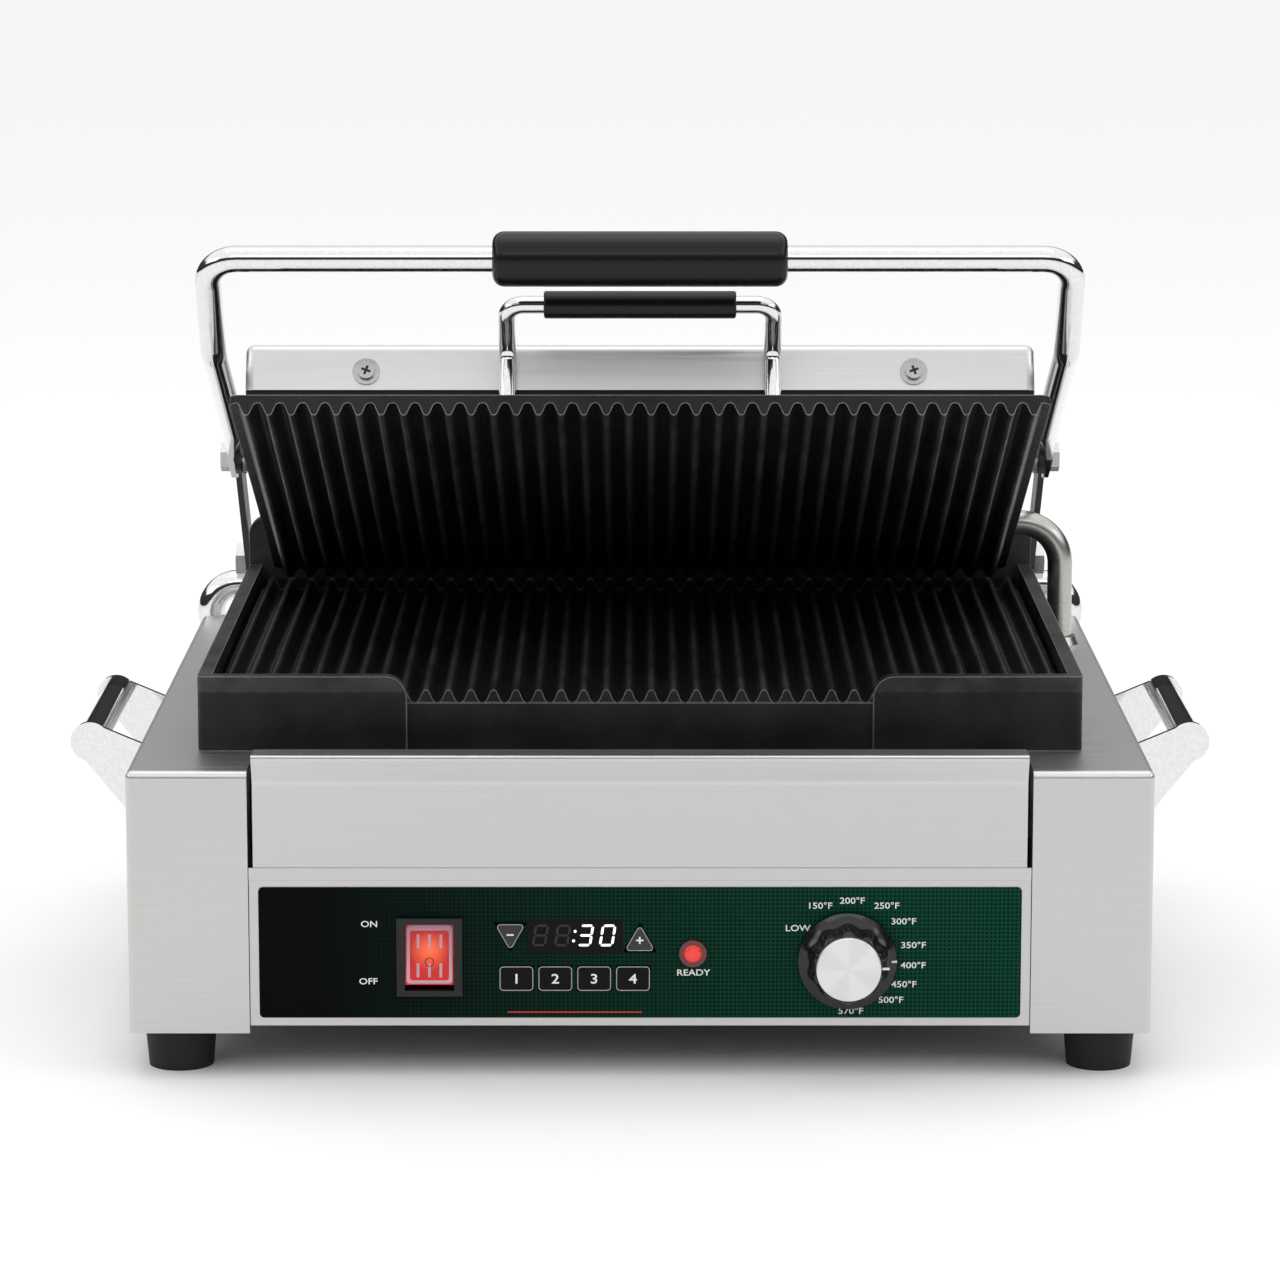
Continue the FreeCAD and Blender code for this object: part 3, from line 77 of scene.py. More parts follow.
class Nodes:
    """A material's node tree, with short calls for the nodes used here."""

    def __init__(self, name: str) -> None:
        """Start a material with a principled shader.

        Args:
            name: the material's name.
        """
        self.material = bpy.data.materials.new(name)
        self.material.use_nodes = True
        self.tree = self.material.node_tree
        self.shader = self.tree.nodes["Principled BSDF"]
        self.place = self.add("ShaderNodeTexCoord").outputs["Object"]

    def add(self, kind: str, **settings: object) -> bpy.types.Node:
        """Add a node and set its properties.

        Args:
            kind: Blender's name for the node.
            settings: properties to set on it.

        Returns:
            The new node.
        """
        node = self.tree.nodes.new(kind)
        for key, value in settings.items():
            setattr(node, key, value)
        return node

    def link(self, source: Socket, target: Socket) -> None:
        """Join an output to an input."""
        self.tree.links.new(source, target)

    def set(self, **values: object) -> None:
        """Set or link the shader's own sockets; an underscore stands for a space."""
        for key, value in values.items():
            socket = self.shader.inputs[key.replace("_", " ")]
            if isinstance(value, Socket):
                self.link(value, socket)
            else:
                socket.default_value = value

    def mapped(self, scale: tuple = (1, 1, 1), turn: tuple = (0, 0, 0),
               move: tuple = (0, 0, 0)) -> Socket:
        """The object's coordinates, scaled, turned and moved."""
        node = self.add("ShaderNodeMapping")
        node.inputs["Scale"].default_value = scale
        node.inputs["Rotation"].default_value = turn
        node.inputs["Location"].default_value = move
        self.link(self.place, node.inputs["Vector"])
        return node.outputs["Vector"]

    def noise(self, where: Socket, scale: float, detail: float = 2.0,
              rough: float = 0.5) -> Socket:
        """Smooth noise at a scale, as a value from 0 to 1."""
        node = self.add("ShaderNodeTexNoise")
        node.inputs["Scale"].default_value = scale
        node.inputs["Detail"].default_value = detail
        node.inputs["Roughness"].default_value = rough
        self.link(where, node.inputs["Vector"])
        return node.outputs["Fac"]

    def ramp(self, value: Socket, low: tuple, high: tuple,
             start: float = 0.0, end: float = 1.0) -> Socket:
        """A colour that goes from low to high as the value goes from start to end."""
        node = self.add("ShaderNodeValToRGB")
        node.color_ramp.elements[0].position = start
        node.color_ramp.elements[1].position = end
        node.color_ramp.elements[0].color = (*low, 1)
        node.color_ramp.elements[1].color = (*high, 1)
        self.link(value, node.inputs["Fac"])
        return node.outputs["Color"]

    def remap(self, value: Socket, start: float, end: float,
              low: float, high: float) -> Socket:
        """A value moved from the range start..end to low..high, and kept inside it."""
        node = self.add("ShaderNodeMapRange")
        for name, number in (("From Min", start), ("From Max", end),
                             ("To Min", low), ("To Max", high)):
            node.inputs[name].default_value = number
        self.link(value, node.inputs["Value"])
        return node.outputs["Result"]

    def sum(self, operation: str, first: object, second: object = 0.0
            ) -> Socket:
        """One step of arithmetic on sockets or numbers."""
        node = self.add("ShaderNodeMath", operation=operation)
        for index, item in enumerate((first, second)):
            if isinstance(item, (int, float)):
                node.inputs[index].default_value = item
            else:
                self.link(item, node.inputs[index])
        return node.outputs[0]

    def mixed(self, amount: Socket, first: object, second: object
              ) -> Socket:
        """A colour between two colours or colour sockets."""
        node = self.add("ShaderNodeMix", data_type="RGBA")
        self.link(amount, node.inputs["Factor"])
        for socket, item in ((node.inputs[6], first), (node.inputs[7], second)):
            if isinstance(item, tuple):
                socket.default_value = (*item, 1)
            else:
                self.link(item, socket)
        return node.outputs[2]

    def bump(self, height: Socket, depth: float, strength: float = 1.0
             ) -> None:
        """Raise the surface by a height from 0 to 1 times a depth in metres."""
        node = self.add("ShaderNodeBump")
        node.inputs["Strength"].default_value = strength
        node.inputs["Distance"].default_value = depth
        self.link(height, node.inputs["Height"])
        self.link(node.outputs["Normal"], self.shader.inputs["Normal"])

    def split(self, where: Socket) -> tuple:
        """The three parts of a place."""
        node = self.add("ShaderNodeSeparateXYZ")
        self.link(where, node.inputs[0])
        return node.outputs[0], node.outputs[1], node.outputs[2]


# ---------------- finishes


@dataclass(frozen=True)
class BrushedSteel:
    """Stainless sheet with fine straight brushing."""

    name: str
    tone: tuple = (0.63, 0.625, 0.615)
    rough: float = 0.36

    def make(self) -> bpy.types.Material:
        """Build the material: stretched noise gives streaks in tone, gloss and relief."""
        n = Nodes(self.name)
        n.set(Metallic=1.0)
        lines = n.noise(n.mapped(BRUSHING), 1.0, 3.0, 0.6)
        clouds = n.noise(n.mapped(), 9.0, 2.0)
        dark = tuple(0.92 * part for part in self.tone)
        light = tuple(min(1.0, 1.05 * part) for part in self.tone)
        streaks = n.ramp(lines, dark, light, 0.3, 0.7)
        tinted = n.mixed(n.remap(clouds, 0.35, 0.65, 0.0, 0.35), streaks, self.tone)
        gloss = n.remap(lines, 0.3, 0.7, self.rough - 0.06, self.rough + 0.08)
        n.set(Base_Color=tinted, Roughness=gloss)
        n.bump(lines, 0.000012, 0.4)
        return n.material


@dataclass(frozen=True)
class BareMetal:
    """Plated or drawn metal: chrome, zinc, satin tube, bronze or blackened steel."""

    name: str
    tone: tuple
    rough: float
    spread: float = 0.05

    def make(self) -> bpy.types.Material:
        """Build the material: soft smudges vary the gloss and a fine grain the tone."""
        n = Nodes(self.name)
        n.set(Metallic=1.0)
        smudge = n.noise(n.mapped(), 42.0, 4.0, 0.6)
        fine = n.noise(n.mapped(), 900.0, 2.0)
        dull = tuple(0.9 * part for part in self.tone)
        n.set(Base_Color=n.ramp(fine, dull, self.tone, 0.35, 0.65))
        n.set(Roughness=n.remap(smudge, 0.3, 0.7, self.rough, self.rough + self.spread))
        return n.material


@dataclass(frozen=True)
class CastIron:
    """Seasoned black casting with a pebbled skin, brighter rib tips, partly rubbed bare by
    use and partly painted highlight, and a painted highlight along its sharp edges.

    tip is the height of the rib tips; the band's depth is how far below them the lighter
    tip band reaches, both along the plate's own normal; tilt turns the plate level, in
    radians about X.
    """

    name: str
    tip: float
    tilt: float = 0.0
    downwards: bool = False
    tip_band_depth: float = 0.0009

    def make(self) -> bpy.types.Material:
        """Build the material: two noises for the skin, a height mask for the lighter rib
        tips and an edge mask for the painted highlight.
        """
        n = Nodes(self.name)
        _, _, height = n.split(n.mapped(turn=(self.tilt, 0, 0)))
        pebbles = n.noise(n.mapped(), 620.0, 4.0, 0.62)
        stains = n.noise(n.mapped(), 34.0, 3.0, 0.6)
        base = n.ramp(stains, (0.010, 0.009, 0.0085), (0.022, 0.020, 0.019), 0.35, 0.68)
        # The lighter band at the rib tips is partly rubbed bare by use and partly painted
        # highlight; the stains make it patchy.
        if self.downwards:
            tip_wear_and_highlight = n.remap(height, self.tip, self.tip + self.tip_band_depth, 1.0, 0.0)
        else:
            tip_wear_and_highlight = n.remap(height, self.tip - self.tip_band_depth, self.tip, 0.0, 1.0)
        patchy = n.sum("MULTIPLY", tip_wear_and_highlight, n.remap(stains, 0.35, 0.7, 0.15, 0.75))
        # Painted highlight: every sharp edge gets a bright, partly metallic colour.
        edge = self.edges(n)
        n.set(Base_Color=n.mixed(edge, n.mixed(patchy, base, (0.075, 0.070, 0.066)),
                                 (0.42, 0.41, 0.40)))
        n.set(Metallic=n.sum("MULTIPLY", edge, 0.7), Specular_IOR_Level=0.22,
              Roughness=n.remap(pebbles, 0.3, 0.7, 0.36, 0.58))
        n.bump(pebbles, 0.00022, 0.55)
        return n.material

    @staticmethod
    def edges(n: Nodes) -> Socket:
        """A mask of the sharp edges, where a rounded normal leaves the face's own one; it
        places the painted highlight along them.

        Args:
            n: the material being built.

        Returns:
            The mask, 1 on an edge and 0 elsewhere.
        """
        rounded = n.add("ShaderNodeBevel")
        rounded.samples = 4
        rounded.inputs["Radius"].default_value = 0.0007
        own = n.add("ShaderNodeNewGeometry")
        match = n.add("ShaderNodeVectorMath", operation="DOT_PRODUCT")
        n.link(rounded.outputs["Normal"], match.inputs[0])
        n.link(own.outputs["Normal"], match.inputs[1])
        return n.remap(match.outputs["Value"], 0.86, 0.985, 1.0, 0.0)


@dataclass(frozen=True)
class Moulded:
    """Rubber or plastic with a fine moulded grain."""

    name: str
    tone: tuple
    rough: float
    grain: float = 1500.0
    relief: float = 0.00002
    coat: float = 0.0
    gloss: float = 0.35

    def make(self) -> bpy.types.Material:
        """Build the material: fine noise for the grain and broad noise for the tone."""
        n = Nodes(self.name)
        n.set(Coat_Weight=self.coat, Coat_Roughness=0.08,
              Specular_IOR_Level=self.gloss)
        fine = n.noise(n.mapped(), self.grain, 2.0)
        broad = n.noise(n.mapped(), 60.0, 2.0)
        dark = tuple(0.82 * part for part in self.tone)
        n.set(Base_Color=n.ramp(broad, dark, self.tone, 0.35, 0.65))
        n.set(Roughness=n.remap(fine, 0.3, 0.7, self.rough - 0.04, self.rough + 0.05))
        n.bump(fine, self.relief, 0.4)
        return n.material


@dataclass(frozen=True)
class WovenPrint:
    """The overlay's print: black at the left, green at the right, in a fine weave."""

    name: str
    left: float
    right: float
    pitch: float

    def make(self) -> bpy.types.Material:
        """Build the material: where two waves are both low lie the weave's dark squares."""
        n = Nodes(self.name)
        x, _, z = n.split(n.place)
        turns = 2 * math.pi / self.pitch
        wave_x = n.sum("SINE", n.sum("MULTIPLY", x, turns))
        wave_z = n.sum("SINE", n.sum("MULTIPLY", z, turns))
        half_x = n.sum("SINE", n.sum("MULTIPLY", x, turns * 2))
        squares = n.sum("MAXIMUM", wave_x, wave_z)
        squares = n.sum("ADD", squares, n.sum("MULTIPLY", half_x, 0.18))
        lit = n.remap(squares, 0.05, 0.75, 0.0, 1.0)
        side = n.remap(x, self.left, self.right, 0.0, 1.0)
        green = n.mixed(side, (0.0, 0.0012, 0.001), (0.0015, 0.058, 0.030))
        shade = n.mixed(side, (0.0, 0.0008, 0.0007), (0.0005, 0.012, 0.007))
        n.set(Base_Color=n.mixed(lit, shade, green), Specular_IOR_Level=0.06,
              Roughness=n.remap(lit, 0.0, 1.0, 0.42, 0.34))
        n.bump(lit, 0.00001, 0.3)
        return n.material


@dataclass(frozen=True)
class Glow:
    """A translucent coloured piece lit from behind, brightest round a point."""

    name: str
    tone: tuple
    centre: tuple
    reach: float
    core: tuple
    strength: float
    rough: float = 0.2

    def make(self) -> bpy.types.Material:
        """Build the material: light falls off with the distance from the lamp behind."""
        n = Nodes(self.name)
        away = n.mapped(move=tuple(-part for part in self.centre))
        length = n.add("ShaderNodeVectorMath", operation="LENGTH")
        n.link(away, length.inputs[0])
        near = n.remap(length.outputs["Value"], 0.0, self.reach, 1.0, 0.0)
        fine = n.noise(n.mapped(), 700.0, 2.0)
        tint = n.mixed(near, self.tone, self.core)
        n.set(Coat_Weight=0.5, Coat_Roughness=0.05, Emission_Strength=self.strength,
              Base_Color=tint, Emission_Color=tint)
        n.set(Roughness=n.remap(fine, 0.3, 0.7, self.rough, self.rough + 0.08))
        return n.material


@dataclass(frozen=True)
class Ink:
    """Printed ink, lightly uneven, which may shine by itself as a lit segment does."""

    name: str
    tone: tuple
    strength: float = 0.0

    def make(self) -> bpy.types.Material:
        """Build the material: noise thins the ink here and there."""
        n = Nodes(self.name)
        thin = tuple(0.88 * part for part in self.tone)
        spots = n.noise(n.mapped(), 1200.0, 2.0)
        tint = n.ramp(spots, thin, self.tone, 0.3, 0.55)
        n.set(Base_Color=tint, Roughness=0.45, Emission_Strength=self.strength)
        if self.strength:
            n.set(Emission_Color=tint)
        return n.material


@dataclass(frozen=True)
class SpunDisc:
    """A lathe-turned disc, whose fine rings and rays catch the light; the sheen round it is
    painted into its colour.
    """

    name: str
    centre: tuple
    tone: tuple = (0.86, 0.86, 0.86)

    def make(self) -> bpy.types.Material:
        """Build the material: rings come from the radius, and the painted sheen from the
        angle.
        """
        n = Nodes(self.name)
        n.set(Metallic=1.0)
        x, _, z = n.split(n.mapped(move=tuple(-part for part in self.centre)))
        angle = n.sum("ARCTAN2", z, x)
        radius = n.sum("SQRT", n.sum("ADD", n.sum("POWER", x, 2), n.sum("POWER", z, 2)))
        rings = n.sum("SINE", n.sum("MULTIPLY", radius, 16000.0))
        # Painted sheen: the colour lightens and darkens in turns round the cap.
        painted_sheen = n.sum("SINE", n.sum("MULTIPLY", angle, 4.0))
        tint = n.ramp(n.remap(painted_sheen, -1, 1, 0, 1), tuple(0.93 * c for c in self.tone),
                      self.tone, 0.2, 0.8)
        n.set(Base_Color=tint, Roughness=n.remap(rings, -1, 1, 0.42, 0.5))
        n.bump(n.remap(rings, -1, 1, 0, 1), 0.000004, 0.4)
        return n.material


# ---------------- surface helpers


def mesh_piece(name: str, points: np.ndarray, faces: np.ndarray, body: str,
               finish: str, smooth: float = 40.0) -> bpy.types.Object:
    """Put points and faces into a mesh that rides on a body.

    Args:
        name: the piece's name.
        points: an array of places, one row for each vertex.
        faces: an array of vertex numbers, or a list of lists.
        body: the CAD body it rides on.
        finish: the finish's name.
        smooth: edges sharper than this many degrees stay sharp.

    Returns:
        The new object.
    """
    mesh = bpy.data.meshes.new(name)
    rows = faces.tolist() if isinstance(faces, np.ndarray) else faces
    mesh.from_pydata(points.reshape(-1, 3).tolist(), [], rows)
    mesh.update()
    mesh.shade_smooth()
    mesh.set_sharp_from_angle(angle=math.radians(smooth))
    piece = bpy.data.objects.new(name, mesh)
    bpy.context.scene.collection.objects.link(piece)
    mesh.materials.append(MATERIALS[finish])
    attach(piece, body)
    LOG.info("%s: %d faces on %s", name, len(rows), body)
    return piece


def grid_faces(rows: int, columns: int, wrap: bool) -> np.ndarray:
    """Quads between the points of a grid.

    Args:
        rows: how many rows of points.
        columns: how many points in a row.
        wrap: whether the last column joins the first.

    Returns:
        An array of four vertex numbers for each quad.
    """
    last = columns if wrap else columns - 1
    row, column = np.meshgrid(np.arange(rows - 1), np.arange(last), indexing="ij")
    here = row * columns + column
    right = row * columns + (column + 1) % columns
    return np.stack([here, right, right + columns, here + columns], -1).reshape(-1, 4)


def run_across(profile: np.ndarray, half: float) -> tuple[np.ndarray, list]:
    """A closed (y, z) profile run along X from -half to half, with flat ends.

    Args:
        profile: the points of the outline.
        half: half the run.

    Returns:
        The points and the faces.
    """
    count = len(profile)
    points = np.stack([np.column_stack([np.full(count, x), profile])
                       for x in (-half, half)])
    start = list(range(count))
    end = [count + index for index in start]
    return points, grid_faces(2, count, True).tolist() + [start[::-1], end]


def rounded_outline(corners: list, radius: float, steps: int = 6) -> np.ndarray:
    """A closed outline with every corner rounded by an arc.

    Args:
        corners: the sharp corners, in order.
        radius: the arcs' radius.
        steps: how many points each arc has.

    Returns:
        The points of the outline.
    """
    points = np.array(corners, float)
    before = np.roll(points, 1, 0) - points
    after = np.roll(points, -1, 0) - points
    before /= np.linalg.norm(before, axis=1)[:, None]
    after /= np.linalg.norm(after, axis=1)[:, None]
    half = np.arccos(np.clip((before * after).sum(1), -1, 1)) / 2
    middle = before + after
    middle /= np.linalg.norm(middle, axis=1)[:, None]
    centre = points + middle * (radius / np.sin(half))[:, None]
    start = points + before * (radius / np.tan(half))[:, None] - centre
    end = points + after * (radius / np.tan(half))[:, None] - centre
    amount = np.linspace(0, 1, steps)[None, :, None]
    span = np.pi - 2 * half
    weight_a = np.sin((1 - amount) * span[:, None, None])
    weight_b = np.sin(amount * span[:, None, None])
    arc = (weight_a * start[:, None] + weight_b * end[:, None])
    arc /= np.sin(span)[:, None, None]
    return (centre[:, None] + arc).reshape(-1, 2)


def plate_from(outline: np.ndarray, front: float, back: float
               ) -> tuple[np.ndarray, list]:
    """A flat plate in the XZ plane between two places along Y.

    Args:
        outline: its (x, z) points.
        front: the near face's Y.
        back: the far face's Y.

    Returns:
        The points and the faces.
    """
    count = len(outline)
    near = np.column_stack([outline[:, 0], np.full(count, front), outline[:, 1]])
    far = np.column_stack([outline[:, 0], np.full(count, back), outline[:, 1]])
    turn = np.cross(outline, np.roll(outline, -1, 0)).sum()
    first = list(range(count))
    sides = [[i, (i + 1) % count, (i + 1) % count + count, i + count]
             for i in range(count)]
    ends = [first[::-1], [i + count for i in first]]
    faces = sides + ends
    if turn > 0:
        faces = [face[::-1] for face in faces]
    return np.vstack([near, far]), faces


# ---------------- the finishes in use

PLATE_TILT = math.radians(24.5)
ARM_TILT = math.radians(25.37)
HINGE = np.array((0.0, 0.1735, 0.165))
REACH = 0.1762
PIVOT = HINGE + REACH * np.array((0.0, -math.cos(ARM_TILT), math.sin(ARM_TILT)))
FACE_Y = -0.1945
OVERLAY_Y = FACE_Y + 0.0005

# How far printing and the painted shade of screw recesses stand out of their face, and one
# bar over another.
INK_DEPTH = 0.00006
INK_STEP = 0.00002


def plate_normal_height(drop: float) -> float:
    """The height, in the plate's levelled frame, of a face a given drop below its pivot.

    Turning about X by the tilt brings the plate level, and moves its pivot to
    z = y sin(tilt) + z cos(tilt).
    """
    return float(PIVOT[1] * math.sin(PLATE_TILT) + PIVOT[2] * math.cos(PLATE_TILT) + drop)


FINISHES = (
    BrushedSteel("sheet_across"),
    BrushedSteel("sheet_dull", (0.42, 0.42, 0.415), 0.46),
    BareMetal("chrome", (0.78, 0.78, 0.79), 0.045, 0.03),
    BareMetal("satin_tube", (0.50, 0.49, 0.47), 0.24, 0.08),
    BareMetal("zinc", (0.45, 0.45, 0.44), 0.22, 0.1),
    BareMetal("bronze", (0.52, 0.36, 0.17), 0.35, 0.1),
    BareMetal("dark_steel", (0.055, 0.053, 0.052), 0.38, 0.12),
    CastIron("lower_iron", 0.1615),
    CastIron("upper_iron", plate_normal_height(-0.022), PLATE_TILT, True),
    Moulded("rubber", (0.012, 0.012, 0.012), 0.62, 1400.0, 0.00003),
    Moulded("gasket", (0.010, 0.010, 0.010), 0.75, 900.0, 0.00004),
    Moulded("black_grip", (0.005, 0.005, 0.0052), 0.3, 1900.0, 0.000004,
            0.12, 0.2),
    Moulded("knob_black", (0.006, 0.006, 0.006), 0.2, 1700.0, 0.000004,
            0.2, 0.4),
    Moulded("switch_black", (0.010, 0.010, 0.010), 0.36, 1500.0),
    Moulded("key_black", (0.007, 0.0075, 0.007), 0.42, 1500.0,
            gloss=0.08),
    Moulded("key_grey", (0.055, 0.055, 0.057), 0.42, 1500.0, gloss=0.12),
    Moulded("window", (0.0035, 0.0035, 0.0035), 0.16, 1500.0, 0.000002, 0.0,
            0.1),
    Moulded("board", (0.02, 0.11, 0.05), 0.4, 800.0),
    Moulded("pad", (0.62, 0.60, 0.54), 0.9, 400.0, 0.0003),
    WovenPrint("overlay", -0.135, 0.10, 0.0018),
    Glow("lens", (0.52, 0.006, 0.004), (0.0227, OVERLAY_Y, 0.0554), 0.006,
         (0.9, 0.04, 0.02), 0.32),
    Glow("lens_ring", (0.09, 0.002, 0.0015), (0.0227, OVERLAY_Y, 0.0554),
         0.008, (0.14, 0.003, 0.003), 0.02),
    Glow("rocker", (0.50, 0.035, 0.035), (-0.0904, FACE_Y, 0.0565), 0.0085,
         (1.0, 0.17, 0.06), 0.34, 0.12),
    Glow("rocker_rim", (0.55, 0.36, 0.42), (-0.0904, FACE_Y, 0.054), 0.02,
         (0.6, 0.30, 0.36), 0.12, 0.1),
    Ink("white_ink", (0.86, 0.87, 0.86)),
    Ink("grey_ink", (0.42, 0.43, 0.42)),
    Ink("red_ink", (0.55, 0.02, 0.015)),
    Ink("lit_digit", (0.95, 0.96, 1.0), 0.9),
    Ink("dim_digit", (0.007, 0.007, 0.007)),
    SpunDisc("spun_cap", (0.089, FACE_Y, 0.0525)),
)


MATERIALS = {finish.name: finish.make() for finish in FINISHES}


def dress(**nodes: str) -> None:
    """Give CAD nodes their finishes.

    Args:
        nodes: for each finish, the names of its CAD nodes with spaces between them.
    """
    for finish, names in nodes.items():
        for node in names.split():
            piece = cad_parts[node]
            piece.data.materials.clear()
            piece.data.materials.append(MATERIALS[finish])
            LOG.info("%s: dressed in %s", node, finish)


# The height of the font's capitals at size 1, and how its extrusion is flattened.
CAPITAL = 0.70
LETTER_DEPTH = 0.004


def printed(name: str, words: str, x: float, z: float, height: float, front: float,
            body: str, bold: float, stretch: float = 1.2
            ) -> bpy.types.Object:
    """A word in raised white ink that faces -Y.

    Args:
        name: the piece's name.
        words: what it says.
        x: its middle.
        z: the middle of its capitals.
        height: the height of its capitals.
        front: the Y of the face it is printed on.
        body: the CAD body it rides on.
        bold: how much its strokes grow, as a share of the height.
        stretch: its width against its usual width.

    Returns:
        The new piece.
    """
    curve = bpy.data.curves.new(name, "FONT")
    curve.body = words
    curve.align_x = "CENTER"
    curve.offset = bold
    curve.extrude = 0.01
    curve.resolution_u = 3
    letters = bpy.data.objects.new(name + "_letters", curve)
    bpy.context.scene.collection.objects.link(letters)
    bpy.context.view_layer.update()
    source = letters.evaluated_get(bpy.context.evaluated_depsgraph_get()).to_mesh()
    flat = np.zeros(len(source.vertices) * 3, np.float32)
    source.vertices.foreach_get("co", flat)
    flat = flat.reshape(-1, 3)
    faces = [list(polygon.vertices) for polygon in source.polygons]
    bpy.data.objects.remove(letters)
    size = height / CAPITAL
    points = np.column_stack([flat[:, 0] * size * stretch + x,
                              front - INK_DEPTH - flat[:, 2] * LETTER_DEPTH,
                              (flat[:, 1] - CAPITAL / 2) * size + z])
    return mesh_piece(name, points, faces, body, "white_ink", 30.0)


def outline_ring(outline: np.ndarray, width: float, front: float
                 ) -> tuple[np.ndarray, np.ndarray]:
    """A thin printed line that follows a closed (x, z) outline on its inner side.

    The inner line is the outline moved by the width along the mean of its neighbours'
    normals.

    Args:
        outline: the points of the outline.
        width: the line's width.
        front: the Y it lies at.

    Returns:
        The points and the faces.
    """
    step = np.roll(outline, -1, 0) - np.roll(outline, 1, 0)
    normal = np.column_stack([-step[:, 1], step[:, 0]])
    normal /= np.linalg.norm(normal, axis=1)[:, None]
    inward = ((outline.mean(0) - outline) * normal).sum() > 0
    normal = normal if inward else -normal
    inner = outline + normal * width
    rows = np.stack([outline, inner])
    points = np.stack([rows[..., 0], np.full(rows.shape[:2], front), rows[..., 1]], -1)
    return points, grid_faces(2, len(outline), True)


def printed_shape(name: str, outline: list, front: float, depth: float, body: str,
                  ink: str) -> None:
    """Print a flat shape on a face that looks along -Y.

    Args:
        name: the piece's name.
        outline: its (x, z) points.
        front: the Y of the face.
        depth: how far it stands out.
        body: the CAD body it rides on.
        ink: the finish's name.
    """
    points, faces = plate_from(np.array(outline), front - depth, front)
    mesh_piece(name, points, faces, body, ink)


def from_level(points: np.ndarray, pivot: np.ndarray, tilt: float) -> np.ndarray:
    """Points drawn level about a pivot, turned up by a tilt and moved to the pivot.

    Args:
        points: (x, y, z) rows, level.
        pivot: where their origin goes.
        tilt: the turn about X, in radians, that lifts the front.

    Returns:
        The points in the row's frame.
    """
    points = np.asarray(points, float)
    c, s = math.cos(tilt), math.sin(tilt)
    y = points[..., 1] * c + points[..., 2] * s
    z = -points[..., 1] * s + points[..., 2] * c
    return np.stack([points[..., 0], y, z], -1) + pivot * (0.0, 1.0, 1.0)


def rectangle(x: float, z: float, width: float, height: float) -> list:
    """The corners of a rectangle centred on (x, z)."""
    a, b = width / 2, height / 2
    return [(x - a, z - b), (x + a, z - b), (x + a, z + b), (x - a, z + b)]


def triangle(x: float, z: float, width: float, way: Way) -> list:
    """The corners of a key's triangle, whose height is nine tenths of its width."""
    a, b = width / 2, way.value * width * 0.45
    return [(x - a, z - b), (x + a, z - b), (x, z + b)]


# ---------------- sub-assemblies


@dataclass
class Housing:
    """The stainless wrap, its panels, feet, guard tube and side handles."""

    def build(self) -> None:
        """Dress the housing's own nodes."""
        dress(
            sheet_across="housing rear_panel control_panel tray_shelf",
            sheet_dull="bottom_plate",
            rubber="front_left_foot front_right_foot rear_left_foot rear_right_foot",
            zinc="foot_screws rear_screws conduit_ferrule hinge_towers counter_springs",
            switch_black="cord_gland",
            chrome="guard_tube guard_flanges handle_brackets left_handle_bar "
                   "right_handle_bar",
            satin_tube="conduit",
            bronze="hinge_bushes")


@dataclass
class DripTray:
    """The tray's bent front, with a rolled upper edge, and the pan behind it."""

    half: float = 0.1657
    low: float = 0.0932
    fold: float = 0.1306
    top: float = 0.1425
    lean: float = 0.006
    back: float = 0.013
    back_drop: float = 0.0012
    wall: float = 0.0015
    bend: float = 0.0016
    bend_steps: int = 7
    pan_behind: float = 0.0045
    pan_inset: float = 0.0025
    pan_base: float = 0.0933
    pan_rim: float = 0.1215
    pan_round: float = 0.004

    def front_profile(self) -> np.ndarray:
        """The (y, z) outline of the bent front: its middle line, thickened both ways."""
        y = FACE_Y + self.wall / 2
        corners = np.array([(y, self.low), (y, self.fold), (y - self.lean, self.top),
                            (y + self.back, self.top - self.back_drop)])
        line = [corners[0]]
        for before, corner, after in zip(corners, corners[1:], corners[2:]):
            a = (before - corner) / np.linalg.norm(before - corner)
            b = (after - corner) / np.linalg.norm(after - corner)
            amount = np.linspace(0, 1, self.bend_steps)[:, None]
            line.extend((1 - amount) ** 2 * (corner + a * self.bend)
                        + 2 * amount * (1 - amount) * corner
                        + amount ** 2 * (corner + b * self.bend))
        line.append(corners[-1])
        line = np.array(line)
        step = np.gradient(line, axis=0)
        normal = np.column_stack([-step[:, 1], step[:, 0]])
        normal /= np.linalg.norm(normal, axis=1)[:, None]
        outer = line + normal * self.wall / 2
        inner = line - normal * self.wall / 2
        return np.vstack([outer, inner[::-1]])

    def build(self) -> None:
        """Build the front and the pan, which together stand for the CAD tray."""
        points, faces = run_across(self.front_profile(), self.half)
        front = mesh_piece("tray_front", points, faces, "tray",
                           "sheet_across", 30.0)
        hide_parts("drip_tray")
        low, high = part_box("drip_tray")
        self.pan(high.y)
        LOG.info("tray spans %.4f to %.4f m", low.z, high.z)

    def pan(self, rear: float) -> None:
        """Build the pan: two nested rounded rectangles raised to walls and a floor.

        Args:
            rear: the Y of the pan's back.
        """
        near = FACE_Y + self.pan_behind
        wide = 2 * (self.half - self.pan_inset)
        middle, deep = (near + rear) / 2, rear - near
        thick = 2 * self.wall
        outer = rounded_outline(rectangle(0.0, middle, wide, deep), self.pan_round)
        inner = rounded_outline(rectangle(0.0, middle, wide - thick, deep - thick),
                                self.pan_round - 0.001)
        loops = [(outer, self.pan_base), (outer, self.pan_rim), (inner, self.pan_rim),
                 (inner, self.pan_base + self.wall)]
        points = np.stack([np.column_stack([loop, np.full(len(loop), z)])
                           for loop, z in loops])
        count = len(outer)
        faces = grid_faces(len(loops), count, True).tolist()
        under = list(range(count))
        floor = [(len(loops) - 1) * count + index for index in under]
        mesh_piece("tray_pan", points, faces + [under[::-1], floor], "tray",
                   "sheet_dull", 30.0)


